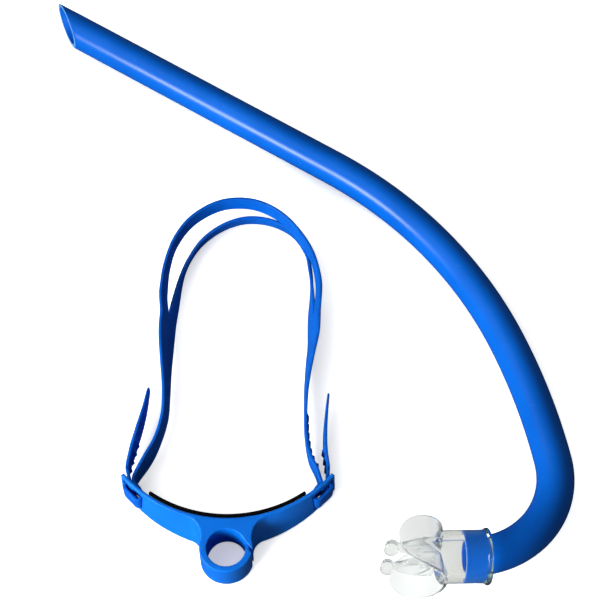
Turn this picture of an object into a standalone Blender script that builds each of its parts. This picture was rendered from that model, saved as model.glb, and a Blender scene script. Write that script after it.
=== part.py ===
"""Front-mounted swimming snorkel, laid out flat beside its head bracket.

Two groups lie on the table:
  * the breathing tube, a bent PVC tube with a slanted top end, and its soft
    mouthpiece pushed over the lower end;
  * the head bracket, a curved forehead bar with a split clamp ring for the tube,
    a foam pad on its rear face, and a double silicone head strap.

Lengths are millimetres and every mesh is made in metres.  +Z is up and the table is
z = 0.  "Plan" coordinates are (x, y) on the table.  The bracket's front, with the
ring, faces -Y, its rear faces +Y, and its left is -X.
"""

import math
from bisect import bisect_right
from collections import namedtuple

import bmesh
import bpy
from mathutils import Vector

MM = 0.001

# Added to plan coordinates, so that the origin is the middle of the footprint
PLAN_SHIFT = (3.62, -13.2)

# ---------------------------------------------------------------- dimensions
# Breathing tube
TUBE_DIA = 22.0
TUBE_WALL = 2.0
TUBE_MOUTH_END = (91.6, -181.5)  # centre of the lower end, in the tube's own plane
TUBE_HEADING = 2.0  # degrees from +X at the lower end
TUBE_STUB = 4.0  # straight length at the lower end
TUBE_BENDS = ((54.4, 96.8), (405.0, 12.1), (266.0, 36.5))  # radius, degrees to the left
TUBE_STRAIGHT = 213.2  # from the last bend to the middle of the slanted end
TUBE_BEND_STEP = 5.4  # degrees of bend per station
TUBE_SIDES = 32
BEVEL_RUN = 30.9  # length of the slanted end along the tube
BEVEL_ROLL = 1.5  # degrees that the slanted end is turned up about the tube
TILT = 5.15  # degrees: the mouthpiece flange props up the tube's lower end
TILT_DOWNHILL = (0.607, 0.795)  # plan direction in which the tilted tube runs down

# Mouthpiece: x is measured from the tube's end face along the tube, and is
# negative towards the mouth
SLEEVE_RADIUS = 15.0
SLEEVE_END = 13.0
BEAD_RADIUS = 16.2
BEAD_HALF = 1.7
SOCKET_RADIUS = 11.3
SOCKET_MOUTH_RADIUS = 12.6
SOCKET_SHOULDER = -0.3
AIRWAY_RADIUS = 9.0
AIRWAY_CUT = ((-24.0, 6.4), (-0.9, AIRWAY_RADIUS - 0.15))  # x, radius at each end
NECK_END = -12.5
MOUTH_SIDES = 32

# Lip flange
FLANGE_CURVE_RADIUS = 27.5
FLANGE_HALF_LONG = 42.6  # along the curve
FLANGE_HALF_SHORT = 16.5
FLANGE_OUTLINE_POWERS = (3.2, 2.4)  # along and across; above 2 is squarer than an ellipse
FLANGE_THICK = 2.0
FLANGE_EDGE_THINNING = 0.55  # share of the thickness lost at the edge
FLANGE_STEPS = (24, 8)  # along and across

# Bite tabs
TAB_OFFSET = 12.5  # from the middle along the flange's long axis
TAB_BEAD_X = -42.0  # centre of the grip bead
TAB_BEAD_RADIUS = 4.0
TAB_BEAD_HALF_WIDTH = 5.6
TAB_PLATE_HALF_WIDTH = 9.6
TAB_PLATE_HALF_THICK = 2.2
TAB_ROOT_GAIN = (0.8, 0.6)  # extra half thickness and half width at the flange
TAB_NARROWING = (0.62, 0.22)  # where the plate narrows: start and span, as shares
TAB_STEPS = 8  # in the plate and again in the bead
TAB_SIDES = 16
TAB_SECTION_POWER = 0.6  # below 1 squares off the oval section

# Head bracket: the arms are arcs about ARC_CENTRE.  Angles on the arc are degrees
# from its middle.
ARC_CENTRE = (-42.0, -75.3)
ARC_REAR_RADIUS = 79.4
ARC_HALF_ANGLE = 49.6
BRACKET_HEIGHT = 20.5
ARM_TOP_THICK = 2.4
ARM_FOOT_TIP_THICK = 3.0
ARM_FOOT_GAIN = 0.172  # mm more per degree towards the middle
ARM_FOOT_FILLET_ANGLE = 14.0  # the foot's radius here is the one its fillet meets
RING_CENTRE = (-42.1, -172.9)
RING_BORE_RADIUS = 11.15
RING_RADIUS = 14.7  # at the front; the side walls are RING_FLARE thicker
RING_FLARE = 0.7
FILLET_TOP = 13.5
FILLET_FOOT = 9.0
CHAMFER = 0.5
ARM_STEPS, FILLET_STEPS, RING_STEPS, REAR_STEPS = 14, 7, 10, 26
BORE_STEPS = 48

# Strap windows in each arm, either side of a bar, in degrees on the arc
WINDOW_INNER = 36.9
BAR_INNER = 42.6
BAR_OUTER = 46.0
WINDOW_OUTER = 48.3
WINDOW_Z = (2.7, 17.6)
WINDOW_RADII = (70.0, 96.0)  # the cutters pass right through the arm
WINDOW_STEPS = 3
BAR_FRONT_RADIUS = 81.6
BAR_RELIEF_MARGIN = 0.4  # degrees

# Split clamp ring: places are (radius, degrees from +X) about RING_CENTRE
SLIT_INNER = (10.4, 25.0)
SLIT_OUTER = (18.5, -17.0)
SLIT_OVERRUN = (6.0, 7.0)  # how far the jaw's edge runs on past the slit's two ends
SLIT_WIDTH = 2.0
FLEX_ANGLE = 188.0
FLEX_RADII = (6.0, 26.0)
FLEX_GAP = 0.3
JAW_INSIDE_CORNER = (4.0, 200.0)
JAW_REACH = (24.0, 22.0)  # sideways and forwards from RING_CENTRE, clear of the ring

# How far the plan cutters stand out above and below the bracket
BORE_OVERSHOOT = 5.0
JAW_OVERSHOOT = 4.0

# Foam pad and its adhesive film, radii about ARC_CENTRE
FOAM_RADII = (76.9, 78.75)
FOAM_HALF_ANGLE = 35.4
FOAM_Z = (0.7, 20.0)
FILM_RADII = (78.95, 79.2)
FILM_ANGLE_INSET = 0.6  # degrees
FILM_Z_INSET = 1.4
PAD_STEPS = 24

# Strap
STRAP_THICK = 2.0
STRAP_CHAMFER = 0.4
STRAP_Z = (3.6, 15.1)  # where it passes the bracket
BAND_LOWER_Z = (0.6, 10.4)
BAND_UPPER_Z = (11.4, 21.4)
ROOT_Z = (BAND_LOWER_Z[0], BAND_UPPER_Z[1])  # where it splits in two
SPLIT_Y = -17.0
LOOP_END_Y = -30.0
TAIL_BASE_Y = -108.0
GAP = 0.3  # between neighbouring strap pieces
LOWER_BAND_GAP = 0.05  # from the split to the lower band's first station
UPPER_LEAN = 0.1  # outward lean at the middle of each rear band, mm per mm
LOWER_LEAN = -0.16
LEFT_LEAN_FADE = 0.25  # share of a rear band over which its root's lean fades
RIGHT_LEAN_FADE = 0.2
LEAN_END_Y = -128.0  # the side bands stand upright here, and
LEAN_END_RUN = 20.0  # reach their full lean this much further back
WIDENING_Y = -100.0  # the side bands widen from here
WIDENING_RUN = 75.0

# Ratchet teeth
TOOTH_PITCH = 5.6
TOOTH_HEIGHT = 1.1
TOOTH_PEAK = 0.62  # place of the crest, as a share of the pitch
TOOTH_MARGIN = 1.4  # smooth edge above and below the teeth
TOOTH_SLOPE = 0.5  # height of the slope at a tooth's upper and lower ends
MAIN_TEETH = 8
TAIL_TEETH = 4
MAIN_TEETH_CLEARANCE = 0.5  # from the fold
TAIL_TEETH_CLEARANCE = 1.0

# Station spacing along the strap
BAND_STEP = 5.0
ROOT_STEP = 4.0
TAIL_STEP = 3.5
END_STEP = 5.0
FOLD_STEP = 1.2

# Taper of the tail: where it starts and how much is lost, as shares
TAIL_NARROW_START, TAIL_NARROW_LOSS, TAIL_NARROW_POWER = 0.35, 0.62, 1.6
TAIL_THIN_START, TAIL_THIN_LOSS = 0.6, 0.3

# Rear bands in plan, (x, y) from the left root to the right root
UPPER_BAND = (
    (-82.2, -17.0), (-84.0, -8.0), (-84.2, 2.0), (-83.2, 14.0), (-79.0, 31.0),
    (-70.4, 46.0), (-59.8, 55.3), (-49.7, 60.2), (-39.5, 61.7), (-29.3, 60.6),
    (-19.1, 56.3), (-8.9, 48.2), (1.2, 35.0), (7.6, 22.3), (11.0, 8.0),
    (12.0, -4.0), (11.4, -17.0),
)
LOWER_BAND = (
    (-79.4, -17.0), (-78.0, -8.0), (-74.0, 14.3), (-70.0, 26.0), (-63.3, 37.8),
    (-54.3, 46.8), (-45.0, 52.5), (-34.5, 55.6), (-24.0, 55.2), (-14.0, 52.0),
    (-3.8, 44.6), (4.2, 30.0), (6.8, 15.0), (7.4, 0.0), (7.1, -17.0),
)
# The strap's fold round the bar: radius about ARC_CENTRE and degrees on the arc,
# from the side band to the tail
FOLD = (
    (76.2, 44.1), (79.6, 40.9), (82.2, 39.1), (83.6, 37.7), (84.5, 38.6), (84.2, 41.0),
    (84.0, 44.0), (83.5, 46.4), (81.9, 47.1), (79.6, 47.2), (77.2, 47.7),
)
# Strap points in front of this line and outside this radius count as the fold
FOLD_LIMIT_Y = -110.0
FOLD_LIMIT_RADIUS = 74.0
BAR_MIDDLE = (80.6, (BAR_INNER + BAR_OUTER) / 2)  # radius, degrees on the arc

# One side of the strap.  band and tail are plan points: the band runs from the root
# to the fold, and the tail from the fold to its tip.  The outward lean, in mm per mm
# of height, grows from far_lean at lean_y to root_lean over lean_run towards +Y.
Side = namedtuple("Side", "name sign band tail root_lean far_lean lean_y lean_run")
LEFT = Side(
    name="left",
    sign=-1,
    band=(
        (-81.4, -17.0), (-81.9, -30.0), (-81.6, -50.0), (-80.8, -70.0), (-81.2, -86.0),
        (-85.2, -103.0), (-90.4, -114.5), (-94.6, -123.0),
    ),
    tail=((-100.7, -121.5), (-99.0, -109.0), (-96.1, -94.0), (-93.4, -81.0), (-91.4, -66.0)),
    root_lean=0.29,
    far_lean=0.17,
    lean_y=-75.0,
    lean_run=50.0,
)
RIGHT = Side(
    name="right",
    sign=1,
    band=(
        (9.8, -17.0), (8.9, -30.0), (6.2, -48.0), (4.1, -66.0), (3.4, -82.0),
        (3.7, -98.0), (6.1, -113.0), (10.2, -123.0),
    ),
    tail=((16.6, -121.5), (15.2, -109.0), (15.1, -96.0), (16.0, -83.0), (17.3, -70.0)),
    root_lean=0.26,
    far_lean=0.0,
    lean_y=-95.0,
    lean_run=75.0,
)


# ---------------------------------------------------------------- objects
def world(x, y, z=0.0):
    """Plan point and height in mm to scene metres."""
    return Vector(((x + PLAN_SHIFT[0]) * MM, (y + PLAN_SHIFT[1]) * MM, z * MM))


def material(name, colour, roughness, alpha=1.0):
    mat = bpy.data.materials.new(name)
    mat.use_nodes = True
    shader = mat.node_tree.nodes["Principled BSDF"]
    shader.inputs["Base Color"].default_value = (*colour, 1.0)
    shader.inputs["Roughness"].default_value = roughness
    shader.inputs["Alpha"].default_value = alpha
    return mat


def moulded_blue(name):
    return material(name, colour=(0.015, 0.185, 0.720), roughness=0.38)


def strap_silicone(name):
    return material("strap_silicone_" + name, colour=(0.010, 0.110, 0.480), roughness=0.42)


def add_object(name, data, location, parent):
    obj = bpy.data.objects.new(name, data)
    bpy.context.scene.collection.objects.link(obj)
    obj.location = location
    obj.parent = parent
    return obj


def mesh_object(name, shape, mat=None, origin=(0, 0, 0), parent=None, smooth=True):
    """A mesh object from (points, faces) in its parent's frame, in metres.  origin
    moves the object's own origin there without moving the shape."""
    verts, faces = shape
    origin = Vector(origin)
    mesh = bpy.data.meshes.new(name)
    mesh.from_pydata([tuple(v - origin) for v in verts], [], faces)
    mesh.update()
    bm = bmesh.new()
    bm.from_mesh(mesh)
    bmesh.ops.recalc_face_normals(bm, faces=bm.faces)
    if bm.calc_volume(signed=True) < 0:
        bmesh.ops.reverse_faces(bm, faces=bm.faces)
    bm.to_mesh(mesh)
    bm.free()
    if smooth:
        mesh.shade_smooth()
        mesh.set_sharp_from_angle(angle=math.radians(32))
    if mat:
        mesh.materials.append(mat)
    return add_object(name, mesh, origin, parent)


def cutter(name, shape, parent=None):
    """A hidden helper for a boolean."""
    obj = mesh_object(name, shape, parent=parent, smooth=False)
    obj.hide_render = True
    obj.display_type = "WIRE"
    return obj


def boolean(obj, other, operation="DIFFERENCE", solver="EXACT"):
    modifier = obj.modifiers.new(operation.lower() + "_" + other.name, "BOOLEAN")
    modifier.operation = operation
    modifier.solver = solver
    modifier.object = other


# ---------------------------------------------------------------- shapes
def loft(rings, closed=False):
    """Joins equal rings of points.  closed joins the last ring to the first;
    otherwise both ends are capped."""
    count = len(rings[0])
    verts = [point for ring in rings for point in ring]
    faces = []
    for i in range(len(rings) if closed else len(rings) - 1):
        here, there = i * count, (i + 1) % len(rings) * count
        for k in range(count):
            after = (k + 1) % count
            faces.append([here + k, here + after, there + after, there + k])
    if not closed:
        faces.append(list(range(count))[::-1])
        faces.append(list(range(len(verts) - count, len(verts))))
    return verts, faces


def plan_loft(levels):
    """A loft through (plan outline, height) levels."""
    return loft([[world(x, y, z) for x, y in outline] for outline, z in levels])


def prism(outline, z_low, z_high):
    return plan_loft([(outline, z_low), (outline, z_high)])


def axis_ring(x, radius):
    """A ring of points about the mouthpiece's X axis."""
    angles = [2 * math.pi * k / MOUTH_SIDES for k in range(MOUTH_SIDES)]
    return [Vector((x, radius * math.cos(a), radius * math.sin(a))) * MM for a in angles]


def on_circle(centre, radius, degrees):
    """Plan point on a circle, by degrees from +X."""
    angle = math.radians(degrees)
    return (centre[0] + radius * math.cos(angle), centre[1] + radius * math.sin(angle))


def arc_point(radius, degrees):
    """Plan point about ARC_CENTRE, by degrees from -Y, positive towards +X."""
    return on_circle(ARC_CENTRE, radius, degrees - 90.0)


def ring_point(radius, degrees):
    return Vector(on_circle(RING_CENTRE, radius, degrees))


def sector(radii, start, end, steps):
    """A curved plan outline between two radii and two angles on the arc."""
    inner, outer = radii
    out = [arc_point(outer, start + (end - start) * k / steps) for k in range(steps + 1)]
    out += [arc_point(inner, end + (start - end) * k / steps) for k in range(steps + 1)]
    return out


def ease(share):
    """Smooth step from 0 to 1."""
    share = min(1.0, max(0.0, share))
    return share * share * (3 - 2 * share)


def mix(first, second, share):
    return first * (1 - share) + second * share


# ---------------------------------------------------------------- plan curves
def catmull(points, per_span=8):
    """A smooth open curve through the points (centripetal Catmull-Rom)."""
    points = [Vector(p) for p in points]
    points = [2 * points[0] - points[1]] + points + [2 * points[-1] - points[-2]]

    def blend(start, end, knot_start, knot_end, knot):
        span = knot_end - knot_start
        return start * ((knot_end - knot) / span) + end * ((knot - knot_start) / span)

    out = []
    for i in range(1, len(points) - 2):
        near = points[i - 1:i + 3]
        knots = [0.0]
        for start, end in zip(near, near[1:]):
            knots.append(knots[-1] + math.sqrt((end - start).length))
        for k in range(per_span):
            knot = knots[1] + (knots[2] - knots[1]) * k / per_span
            level = near
            # three rounds of blending, over knot spans that widen and then narrow
            for spans in (((0, 1), (1, 2), (2, 3)), ((0, 2), (1, 3)), ((1, 2),)):
                level = [
                    blend(level[j], level[j + 1], knots[a], knots[b], knot)
                    for j, (a, b) in enumerate(spans)
                ]
            out.append(level[0])
    out.append(points[-2])
    return out


def lengths(path):
    """Distance along the path at each of its points."""
    out = [0.0]
    for start, end in zip(path, path[1:]):
        out.append(out[-1] + (end - start).length)
    return out


def point_at(path, travel, wanted):
    """The point where the distance along the path, listed in travel, is wanted."""
    j = max(0, min(len(travel) - 2, bisect_right(travel, wanted) - 1))
    share = (wanted - travel[j]) / max(travel[j + 1] - travel[j], 1e-9)
    return path[j].lerp(path[j + 1], min(1.0, max(0.0, share)))


def resample(path, step):
    """Evenly spaced points, about step apart."""
    travel = lengths(path)
    spans = max(1, round(travel[-1] / step))
    return [point_at(path, travel, travel[-1] * i / spans) for i in range(spans + 1)]


def normals(path, to_left):
    """Unit normals, to the left or to the right of the direction of travel."""
    out = []
    for i in range(len(path)):
        along = (path[min(len(path) - 1, i + 1)] - path[max(0, i - 1)]).normalized()
        left = Vector((-along.y, along.x))
        out.append(left if to_left else -left)
    return out


# ---------------------------------------------------------------- tube
def tube_path():
    """Centreline stations of the tube in its own plane: x, y and heading."""
    x, y = TUBE_MOUTH_END
    heading = math.radians(TUBE_HEADING)
    out = [(x, y, heading)]
    x += TUBE_STUB * math.cos(heading)
    y += TUBE_STUB * math.sin(heading)
    for radius, degrees in TUBE_BENDS:
        turn = math.radians(degrees)
        centre_x = x - radius * math.sin(heading)
        centre_y = y + radius * math.cos(heading)
        steps = max(3, round(degrees / TUBE_BEND_STEP))
        for k in range(steps + 1):
            now = heading + turn * k / steps
            x, y = centre_x + radius * math.sin(now), centre_y - radius * math.cos(now)
            if k < steps:
                out.append((x, y, now))
        heading += turn
    out.append((x, y, heading))
    x += TUBE_STRAIGHT * math.cos(heading)
    y += TUBE_STRAIGHT * math.sin(heading)
    out.append((x, y, heading))
    return out


def tube_ring(station, radius, slope=0.0):
    """One section of the tube.  A slope slants it, so that the tube is longest on
    the right-hand side of the heading."""
    x, y, heading = station
    left = Vector((-math.sin(heading), math.cos(heading), 0))
    along = Vector((math.cos(heading), math.sin(heading), 0))
    out = []
    for k in range(TUBE_SIDES):
        angle = 2 * math.pi * k / TUBE_SIDES
        point = Vector((x, y, radius * math.sin(angle))) + left * (radius * math.cos(angle))
        point -= along * (slope * radius * math.cos(angle - math.radians(BEVEL_ROLL)))
        out.append(point * MM)
    return out


def tube_shape():
    path = tube_path()
    outer, inner = (
        [tube_ring(station, radius) for station in path[:-1]]
        + [tube_ring(path[-1], radius, BEVEL_RUN / TUBE_DIA)]
        for radius in (TUBE_DIA / 2, TUBE_DIA / 2 - TUBE_WALL)
    )
    return loft(outer + inner[::-1], closed=True)


def tube_frame():
    """The tube's own plane, tilted about the tube's point furthest downhill, which
    touches the table."""
    down_x, down_y = TILT_DOWNHILL
    x, y, _ = max(tube_path(), key=lambda p: p[0] * down_x + p[1] * down_y)
    tilt = add_object("tube_rest_tilt", None, world(x, y, TUBE_DIA / 2), None)
    tilt.rotation_mode = "AXIS_ANGLE"
    tilt.rotation_axis_angle = (math.radians(TILT), -down_y, down_x, 0.0)
    return add_object("tube_plane", None, (-x * MM, -y * MM, 0.0), tilt)


def build_tube(plane, mouth_end):
    mat = material("tube_blue_pvc", colour=(0.012, 0.150, 0.590), roughness=0.22)
    mesh_object("snorkel_tube", tube_shape(), mat, origin=mouth_end, parent=plane)


# ---------------------------------------------------------------- mouthpiece
def socket_shape():
    """The sleeve over the tube's end, turned from an (x, radius) profile."""
    profile = [
        (NECK_END - 1.5, AIRWAY_RADIUS),
        (NECK_END - 1.5, SLEEVE_RADIUS - 1.0),
        (NECK_END + 3.0, SLEEVE_RADIUS),
        (SLEEVE_END - BEAD_HALF - 0.8, SLEEVE_RADIUS),
    ]
    for k in range(7):
        profile.append(on_circle((SLEEVE_END, BEAD_RADIUS - BEAD_HALF), BEAD_HALF, 180 - 30 * k))
    profile += [
        (SLEEVE_END + BEAD_HALF * 0.7, SOCKET_MOUTH_RADIUS),
        (4.0, SOCKET_RADIUS),
        (SOCKET_SHOULDER, SOCKET_RADIUS),
        (SOCKET_SHOULDER, AIRWAY_RADIUS),
    ]
    return loft([axis_ring(x, radius) for x, radius in profile], closed=True)


def flange_point(side, along, across):
    """A point on the flange's face.  side is -1 for the face towards the mouth and 1
    for the other; along and across run from -1 to 1."""
    power_along, power_across = FLANGE_OUTLINE_POWERS
    half_width = FLANGE_HALF_SHORT * (1 - abs(along) ** power_along) ** (1 / power_across)
    thinning = 1 - FLANGE_EDGE_THINNING * max(abs(along), abs(across)) ** 4
    radius = FLANGE_CURVE_RADIUS + side * FLANGE_THICK * thinning / 2
    angle = along * FLANGE_HALF_LONG / FLANGE_CURVE_RADIUS
    x = NECK_END - FLANGE_CURVE_RADIUS + radius * math.cos(angle)
    return Vector((x, across * half_width, radius * math.sin(angle))) * MM


def flange_shape():
    """The curved lip shield: a plate bent about the local Y axis, with a rounded
    outline, thickest at its middle."""
    rows, columns = FLANGE_STEPS
    verts, faces = [], []
    for side in (-1, 1):
        for i in range(rows + 1):
            # stops just short of the tips, so that the end edges keep some length
            along = -math.cos(math.pi * i / rows) * 0.997
            for j in range(columns + 1):
                verts.append(flange_point(side, along, -math.cos(math.pi * j / columns)))

    def at(face, i, j):
        return (face * (rows + 1) + i) * (columns + 1) + j

    for i in range(rows):
        for j in range(columns):
            faces.append([at(0, i, j), at(0, i, j + 1), at(0, i + 1, j + 1), at(0, i + 1, j)])
            faces.append([at(1, i, j), at(1, i + 1, j), at(1, i + 1, j + 1), at(1, i, j + 1)])
    # the rim
    for i in range(rows):
        faces.append([at(0, i, 0), at(0, i + 1, 0), at(1, i + 1, 0), at(1, i, 0)])
        faces.append([
            at(0, i + 1, columns), at(0, i, columns), at(1, i, columns), at(1, i + 1, columns),
        ])
    for j in range(columns):
        faces.append([at(0, 0, j + 1), at(0, 0, j), at(1, 0, j), at(1, 0, j + 1)])
        faces.append([at(0, rows, j), at(0, rows, j + 1), at(1, rows, j + 1), at(1, rows, j)])
    return verts, faces


def tab_shape(centre_z):
    """One bite tab: a wide flat plate from the flange, ending in a narrower grip bead."""
    stations = []  # x, half thickness, half width
    root = NECK_END - 1.2
    narrow_start, narrow_span = TAB_NARROWING
    narrowing = TAB_PLATE_HALF_WIDTH - TAB_BEAD_HALF_WIDTH * 0.9
    for k in range(TAB_STEPS + 1):
        share = k / TAB_STEPS
        stations.append((
            root + (TAB_BEAD_X + TAB_BEAD_RADIUS - root) * share,
            TAB_PLATE_HALF_THICK + TAB_ROOT_GAIN[0] * (1 - share) ** 2,
            TAB_PLATE_HALF_WIDTH - narrowing * ease((share - narrow_start) / narrow_span)
            + TAB_ROOT_GAIN[1] * (1 - share),
        ))
    for k in range(1, TAB_STEPS):
        angle = math.pi * k / TAB_STEPS
        stations.append((
            TAB_BEAD_X + TAB_BEAD_RADIUS * math.cos(angle),
            TAB_BEAD_RADIUS * math.sin(angle),
            TAB_BEAD_HALF_WIDTH * (0.72 + 0.28 * math.sin(angle)),
        ))

    def squared(value):
        return math.copysign(abs(value) ** TAB_SECTION_POWER, value)

    angles = [2 * math.pi * (k + 0.5) / TAB_SIDES for k in range(TAB_SIDES)]
    return loft([
        [
            Vector((
                x,
                half_thick * squared(math.cos(angle)),
                centre_z + half_width * squared(math.sin(angle)),
            )) * MM
            for angle in angles
        ]
        for x, half_thick, half_width in stations
    ])


def build_mouthpiece(plane, mouth_end):
    axis = add_object("mouthpiece_axis", None, mouth_end, plane)
    axis.rotation_euler = (0, 0, math.radians(TUBE_HEADING))
    clear = material("clear_silicone", colour=(0.86, 0.88, 0.86), roughness=0.12, alpha=0.4)
    mouth = mesh_object("mouthpiece", socket_shape(), clear, parent=axis)
    airway = loft([axis_ring(x, radius) for x, radius in AIRWAY_CUT])
    for name, shape, operation in (
        ("flange_shape", flange_shape(), "UNION"),
        ("bite_tab_upper", tab_shape(TAB_OFFSET), "UNION"),
        ("bite_tab_lower", tab_shape(-TAB_OFFSET), "UNION"),
        ("airway_cut", airway, "DIFFERENCE"),
    ):
        boolean(mouth, cutter(name, shape, axis), operation, "MANIFOLD")


# ---------------------------------------------------------------- bracket
def fillet(arm_radius, radius):
    """The concave fillet between the arm's front arc and the ring, on the left side:
    its centre, and the angles about it, in degrees, where it starts and ends."""
    distance = math.dist(ARC_CENTRE, RING_CENTRE)
    to_arc = arm_radius + radius
    to_ring = RING_RADIUS + RING_FLARE + radius
    along = (to_arc ** 2 - to_ring ** 2 + distance ** 2) / (2 * distance)
    aside = math.sqrt(to_arc ** 2 - along ** 2)
    unit_x = (RING_CENTRE[0] - ARC_CENTRE[0]) / distance
    unit_y = (RING_CENTRE[1] - ARC_CENTRE[1]) / distance
    x = ARC_CENTRE[0] + unit_x * along + unit_y * aside
    y = ARC_CENTRE[1] + unit_y * along - unit_x * aside
    start = math.degrees(math.atan2(ARC_CENTRE[1] - y, ARC_CENTRE[0] - x))
    end = math.degrees(math.atan2(RING_CENTRE[1] - y, RING_CENTRE[0] - x))
    return (x, y), start, end


def foot_radius(degrees):
    thick = ARM_FOOT_TIP_THICK + ARM_FOOT_GAIN * (ARC_HALF_ANGLE - abs(degrees))
    return ARC_REAR_RADIUS + thick


def half_front(top):
    """Left half of the front outline, from the tip to the ring's foremost point."""
    top_radius = ARC_REAR_RADIUS + ARM_TOP_THICK
    arm_radius = top_radius if top else foot_radius(ARM_FOOT_FILLET_ANGLE)
    radius = FILLET_TOP if top else FILLET_FOOT
    centre, start, end = fillet(arm_radius, radius)
    x, y = on_circle(centre, radius, start)
    arm_end = math.degrees(math.atan2(ARC_CENTRE[0] - x, ARC_CENTRE[1] - y))
    out = []
    for k in range(ARM_STEPS):
        share = k / ARM_STEPS
        degrees = ARC_HALF_ANGLE + (arm_end - ARC_HALF_ANGLE) * share
        here = top_radius
        if not top:
            # ease into the radius that the fillet meets
            here = foot_radius(degrees) + (arm_radius - foot_radius(arm_end)) * share ** 6
        out.append(arc_point(here, -degrees))
    turn = (end - start + 180.0) % 360.0 - 180.0
    for k in range(FILLET_STEPS):
        out.append(on_circle(centre, radius, start + turn * k / FILLET_STEPS))
    ring_start = end + 180.0
    for k in range(RING_STEPS):
        share = k / RING_STEPS
        here = RING_RADIUS + RING_FLARE * (1 - ease(share))
        out.append(on_circle(RING_CENTRE, here, ring_start + (270.0 - ring_start) * share))
    out.append((RING_CENTRE[0], RING_CENTRE[1] - RING_RADIUS))
    return out


def bracket_outline(top):
    """The whole outline, anticlockwise from the left tip."""
    left = half_front(top)
    # The right half mirrors the left about the ring, and then shifts beyond the ring
    # so that its arm is centred on the arc.
    shift = 2 * ARC_CENTRE[0] - 2 * RING_CENTRE[0]
    right = []
    for x, y in left[-2::-1]:
        x = 2 * RING_CENTRE[0] - x
        share = min(1.0, max(0.0, (x - RING_CENTRE[0] - RING_RADIUS) / 12.0))
        right.append((x + shift * share, y))
    rear = [
        arc_point(ARC_REAR_RADIUS, ARC_HALF_ANGLE - 2 * ARC_HALF_ANGLE * k / REAR_STEPS)
        for k in range(REAR_STEPS + 1)
    ]
    return left + right + rear


def inset(points, distance):
    """The closed anticlockwise outline moved inwards."""
    points = [Vector(p) for p in points]
    out = []
    for i, here in enumerate(points):
        before = (here - points[i - 1]).normalized()
        after = (points[(i + 1) % len(points)] - here).normalized()
        normal = Vector((-before.y, before.x))
        middle = (normal + Vector((-after.y, after.x))).normalized()
        out.append(here + middle * (distance / max(0.5, middle.dot(normal))))
    return out


def bracket_shape():
    """The bar and ring as one loft between the foot's and the top's outlines."""
    top, foot = bracket_outline(True), bracket_outline(False)
    return plan_loft([
        (inset(foot, CHAMFER), 0.0),
        (foot, CHAMFER),
        (top, BRACKET_HEIGHT - CHAMFER),
        (inset(top, CHAMFER), BRACKET_HEIGHT),
    ])


def jaw_outline(with_gaps):
    """Plan outline round the moving front of the ring.  with_gaps also takes in the
    slit and the flexure gap beside it."""
    inner, outer = ring_point(*SLIT_INNER), ring_point(*SLIT_OUTER)
    along = (outer - inner).normalized()
    across = Vector((-along.y, along.x))  # towards the fixed side
    aside = across * (SLIT_WIDTH / 2 if with_gaps else -SLIT_WIDTH / 2)
    lift = Vector((0.0, FLEX_GAP if with_gaps else 0.0))
    centre = Vector(RING_CENTRE)
    return [
        inner - along * SLIT_OVERRUN[0] + aside,
        ring_point(*JAW_INSIDE_CORNER) + lift,
        ring_point(FLEX_RADII[0], FLEX_ANGLE) + lift,
        ring_point(FLEX_RADII[1], FLEX_ANGLE) + lift,
        centre + Vector((-JAW_REACH[0], -JAW_REACH[1])),
        centre + Vector((JAW_REACH[0], -JAW_REACH[1])),
        outer + along * SLIT_OVERRUN[1] + aside,
    ]


def through_cutter(name, outline, overshoot):
    return cutter(name, prism(outline, -overshoot, BRACKET_HEIGHT + overshoot))


def cut_strap_windows(bracket):
    """Two slots in each arm, and the bar between them thinned from the front."""
    margin = BAR_RELIEF_MARGIN
    behind, ahead = WINDOW_RADII
    for side in (LEFT, RIGHT):
        for name, start, end, inner_radius in (
            ("outer_slot_", WINDOW_OUTER, BAR_OUTER, behind),
            ("inner_slot_", BAR_INNER, WINDOW_INNER, behind),
            ("bar_relief_", BAR_OUTER + margin, BAR_INNER - margin, BAR_FRONT_RADIUS),
        ):
            outline = sector(
                (inner_radius, ahead), side.sign * start, side.sign * end, WINDOW_STEPS
            )
            boolean(bracket, cutter(name + side.name, prism(outline, *WINDOW_Z)))


def build_bracket():
    """The fixed bracket and the ring's moving jaw, both cut from the same loft."""
    shape = bracket_shape()
    bracket = mesh_object(
        "head_bracket", shape, moulded_blue("moulded_blue_plastic"), origin=world(*RING_CENTRE)
    )
    jaw = mesh_object(
        "ring_jaw", shape, moulded_blue("moulded_blue_plastic_jaw"),
        origin=world(*ring_point(RING_RADIUS, FLEX_ANGLE)),
    )
    circle = [ring_point(RING_BORE_RADIUS, 360.0 * k / BORE_STEPS) for k in range(BORE_STEPS)]
    bore = through_cutter("tube_bore", circle, BORE_OVERSHOOT)
    boolean(bracket, bore)
    boolean(jaw, bore)
    boolean(bracket, through_cutter("jaw_clearance", jaw_outline(True), JAW_OVERSHOOT))
    boolean(jaw, through_cutter("jaw_zone", jaw_outline(False), JAW_OVERSHOOT), "INTERSECT")
    cut_strap_windows(bracket)


def build_pad():
    """The foam pad behind the bar, and the film that sticks it on."""
    film = material("adhesive_film", colour=(0.75, 0.74, 0.68), roughness=0.4)
    foam = material("black_foam", colour=(0.012, 0.012, 0.013), roughness=0.92)
    for name, mat, radii, angle_inset, z_inset in (
        ("pad_adhesive_film", film, FILM_RADII, FILM_ANGLE_INSET, FILM_Z_INSET),
        ("forehead_foam_pad", foam, FOAM_RADII, 0.0, 0.0),
    ):
        half_angle = FOAM_HALF_ANGLE - angle_inset
        outline = sector(radii, -half_angle, half_angle, PAD_STEPS)
        shape = prism(outline, FOAM_Z[0] + z_inset, FOAM_Z[1] - z_inset)
        mesh_object(name, shape, mat, origin=world(*RING_CENTRE))


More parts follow.
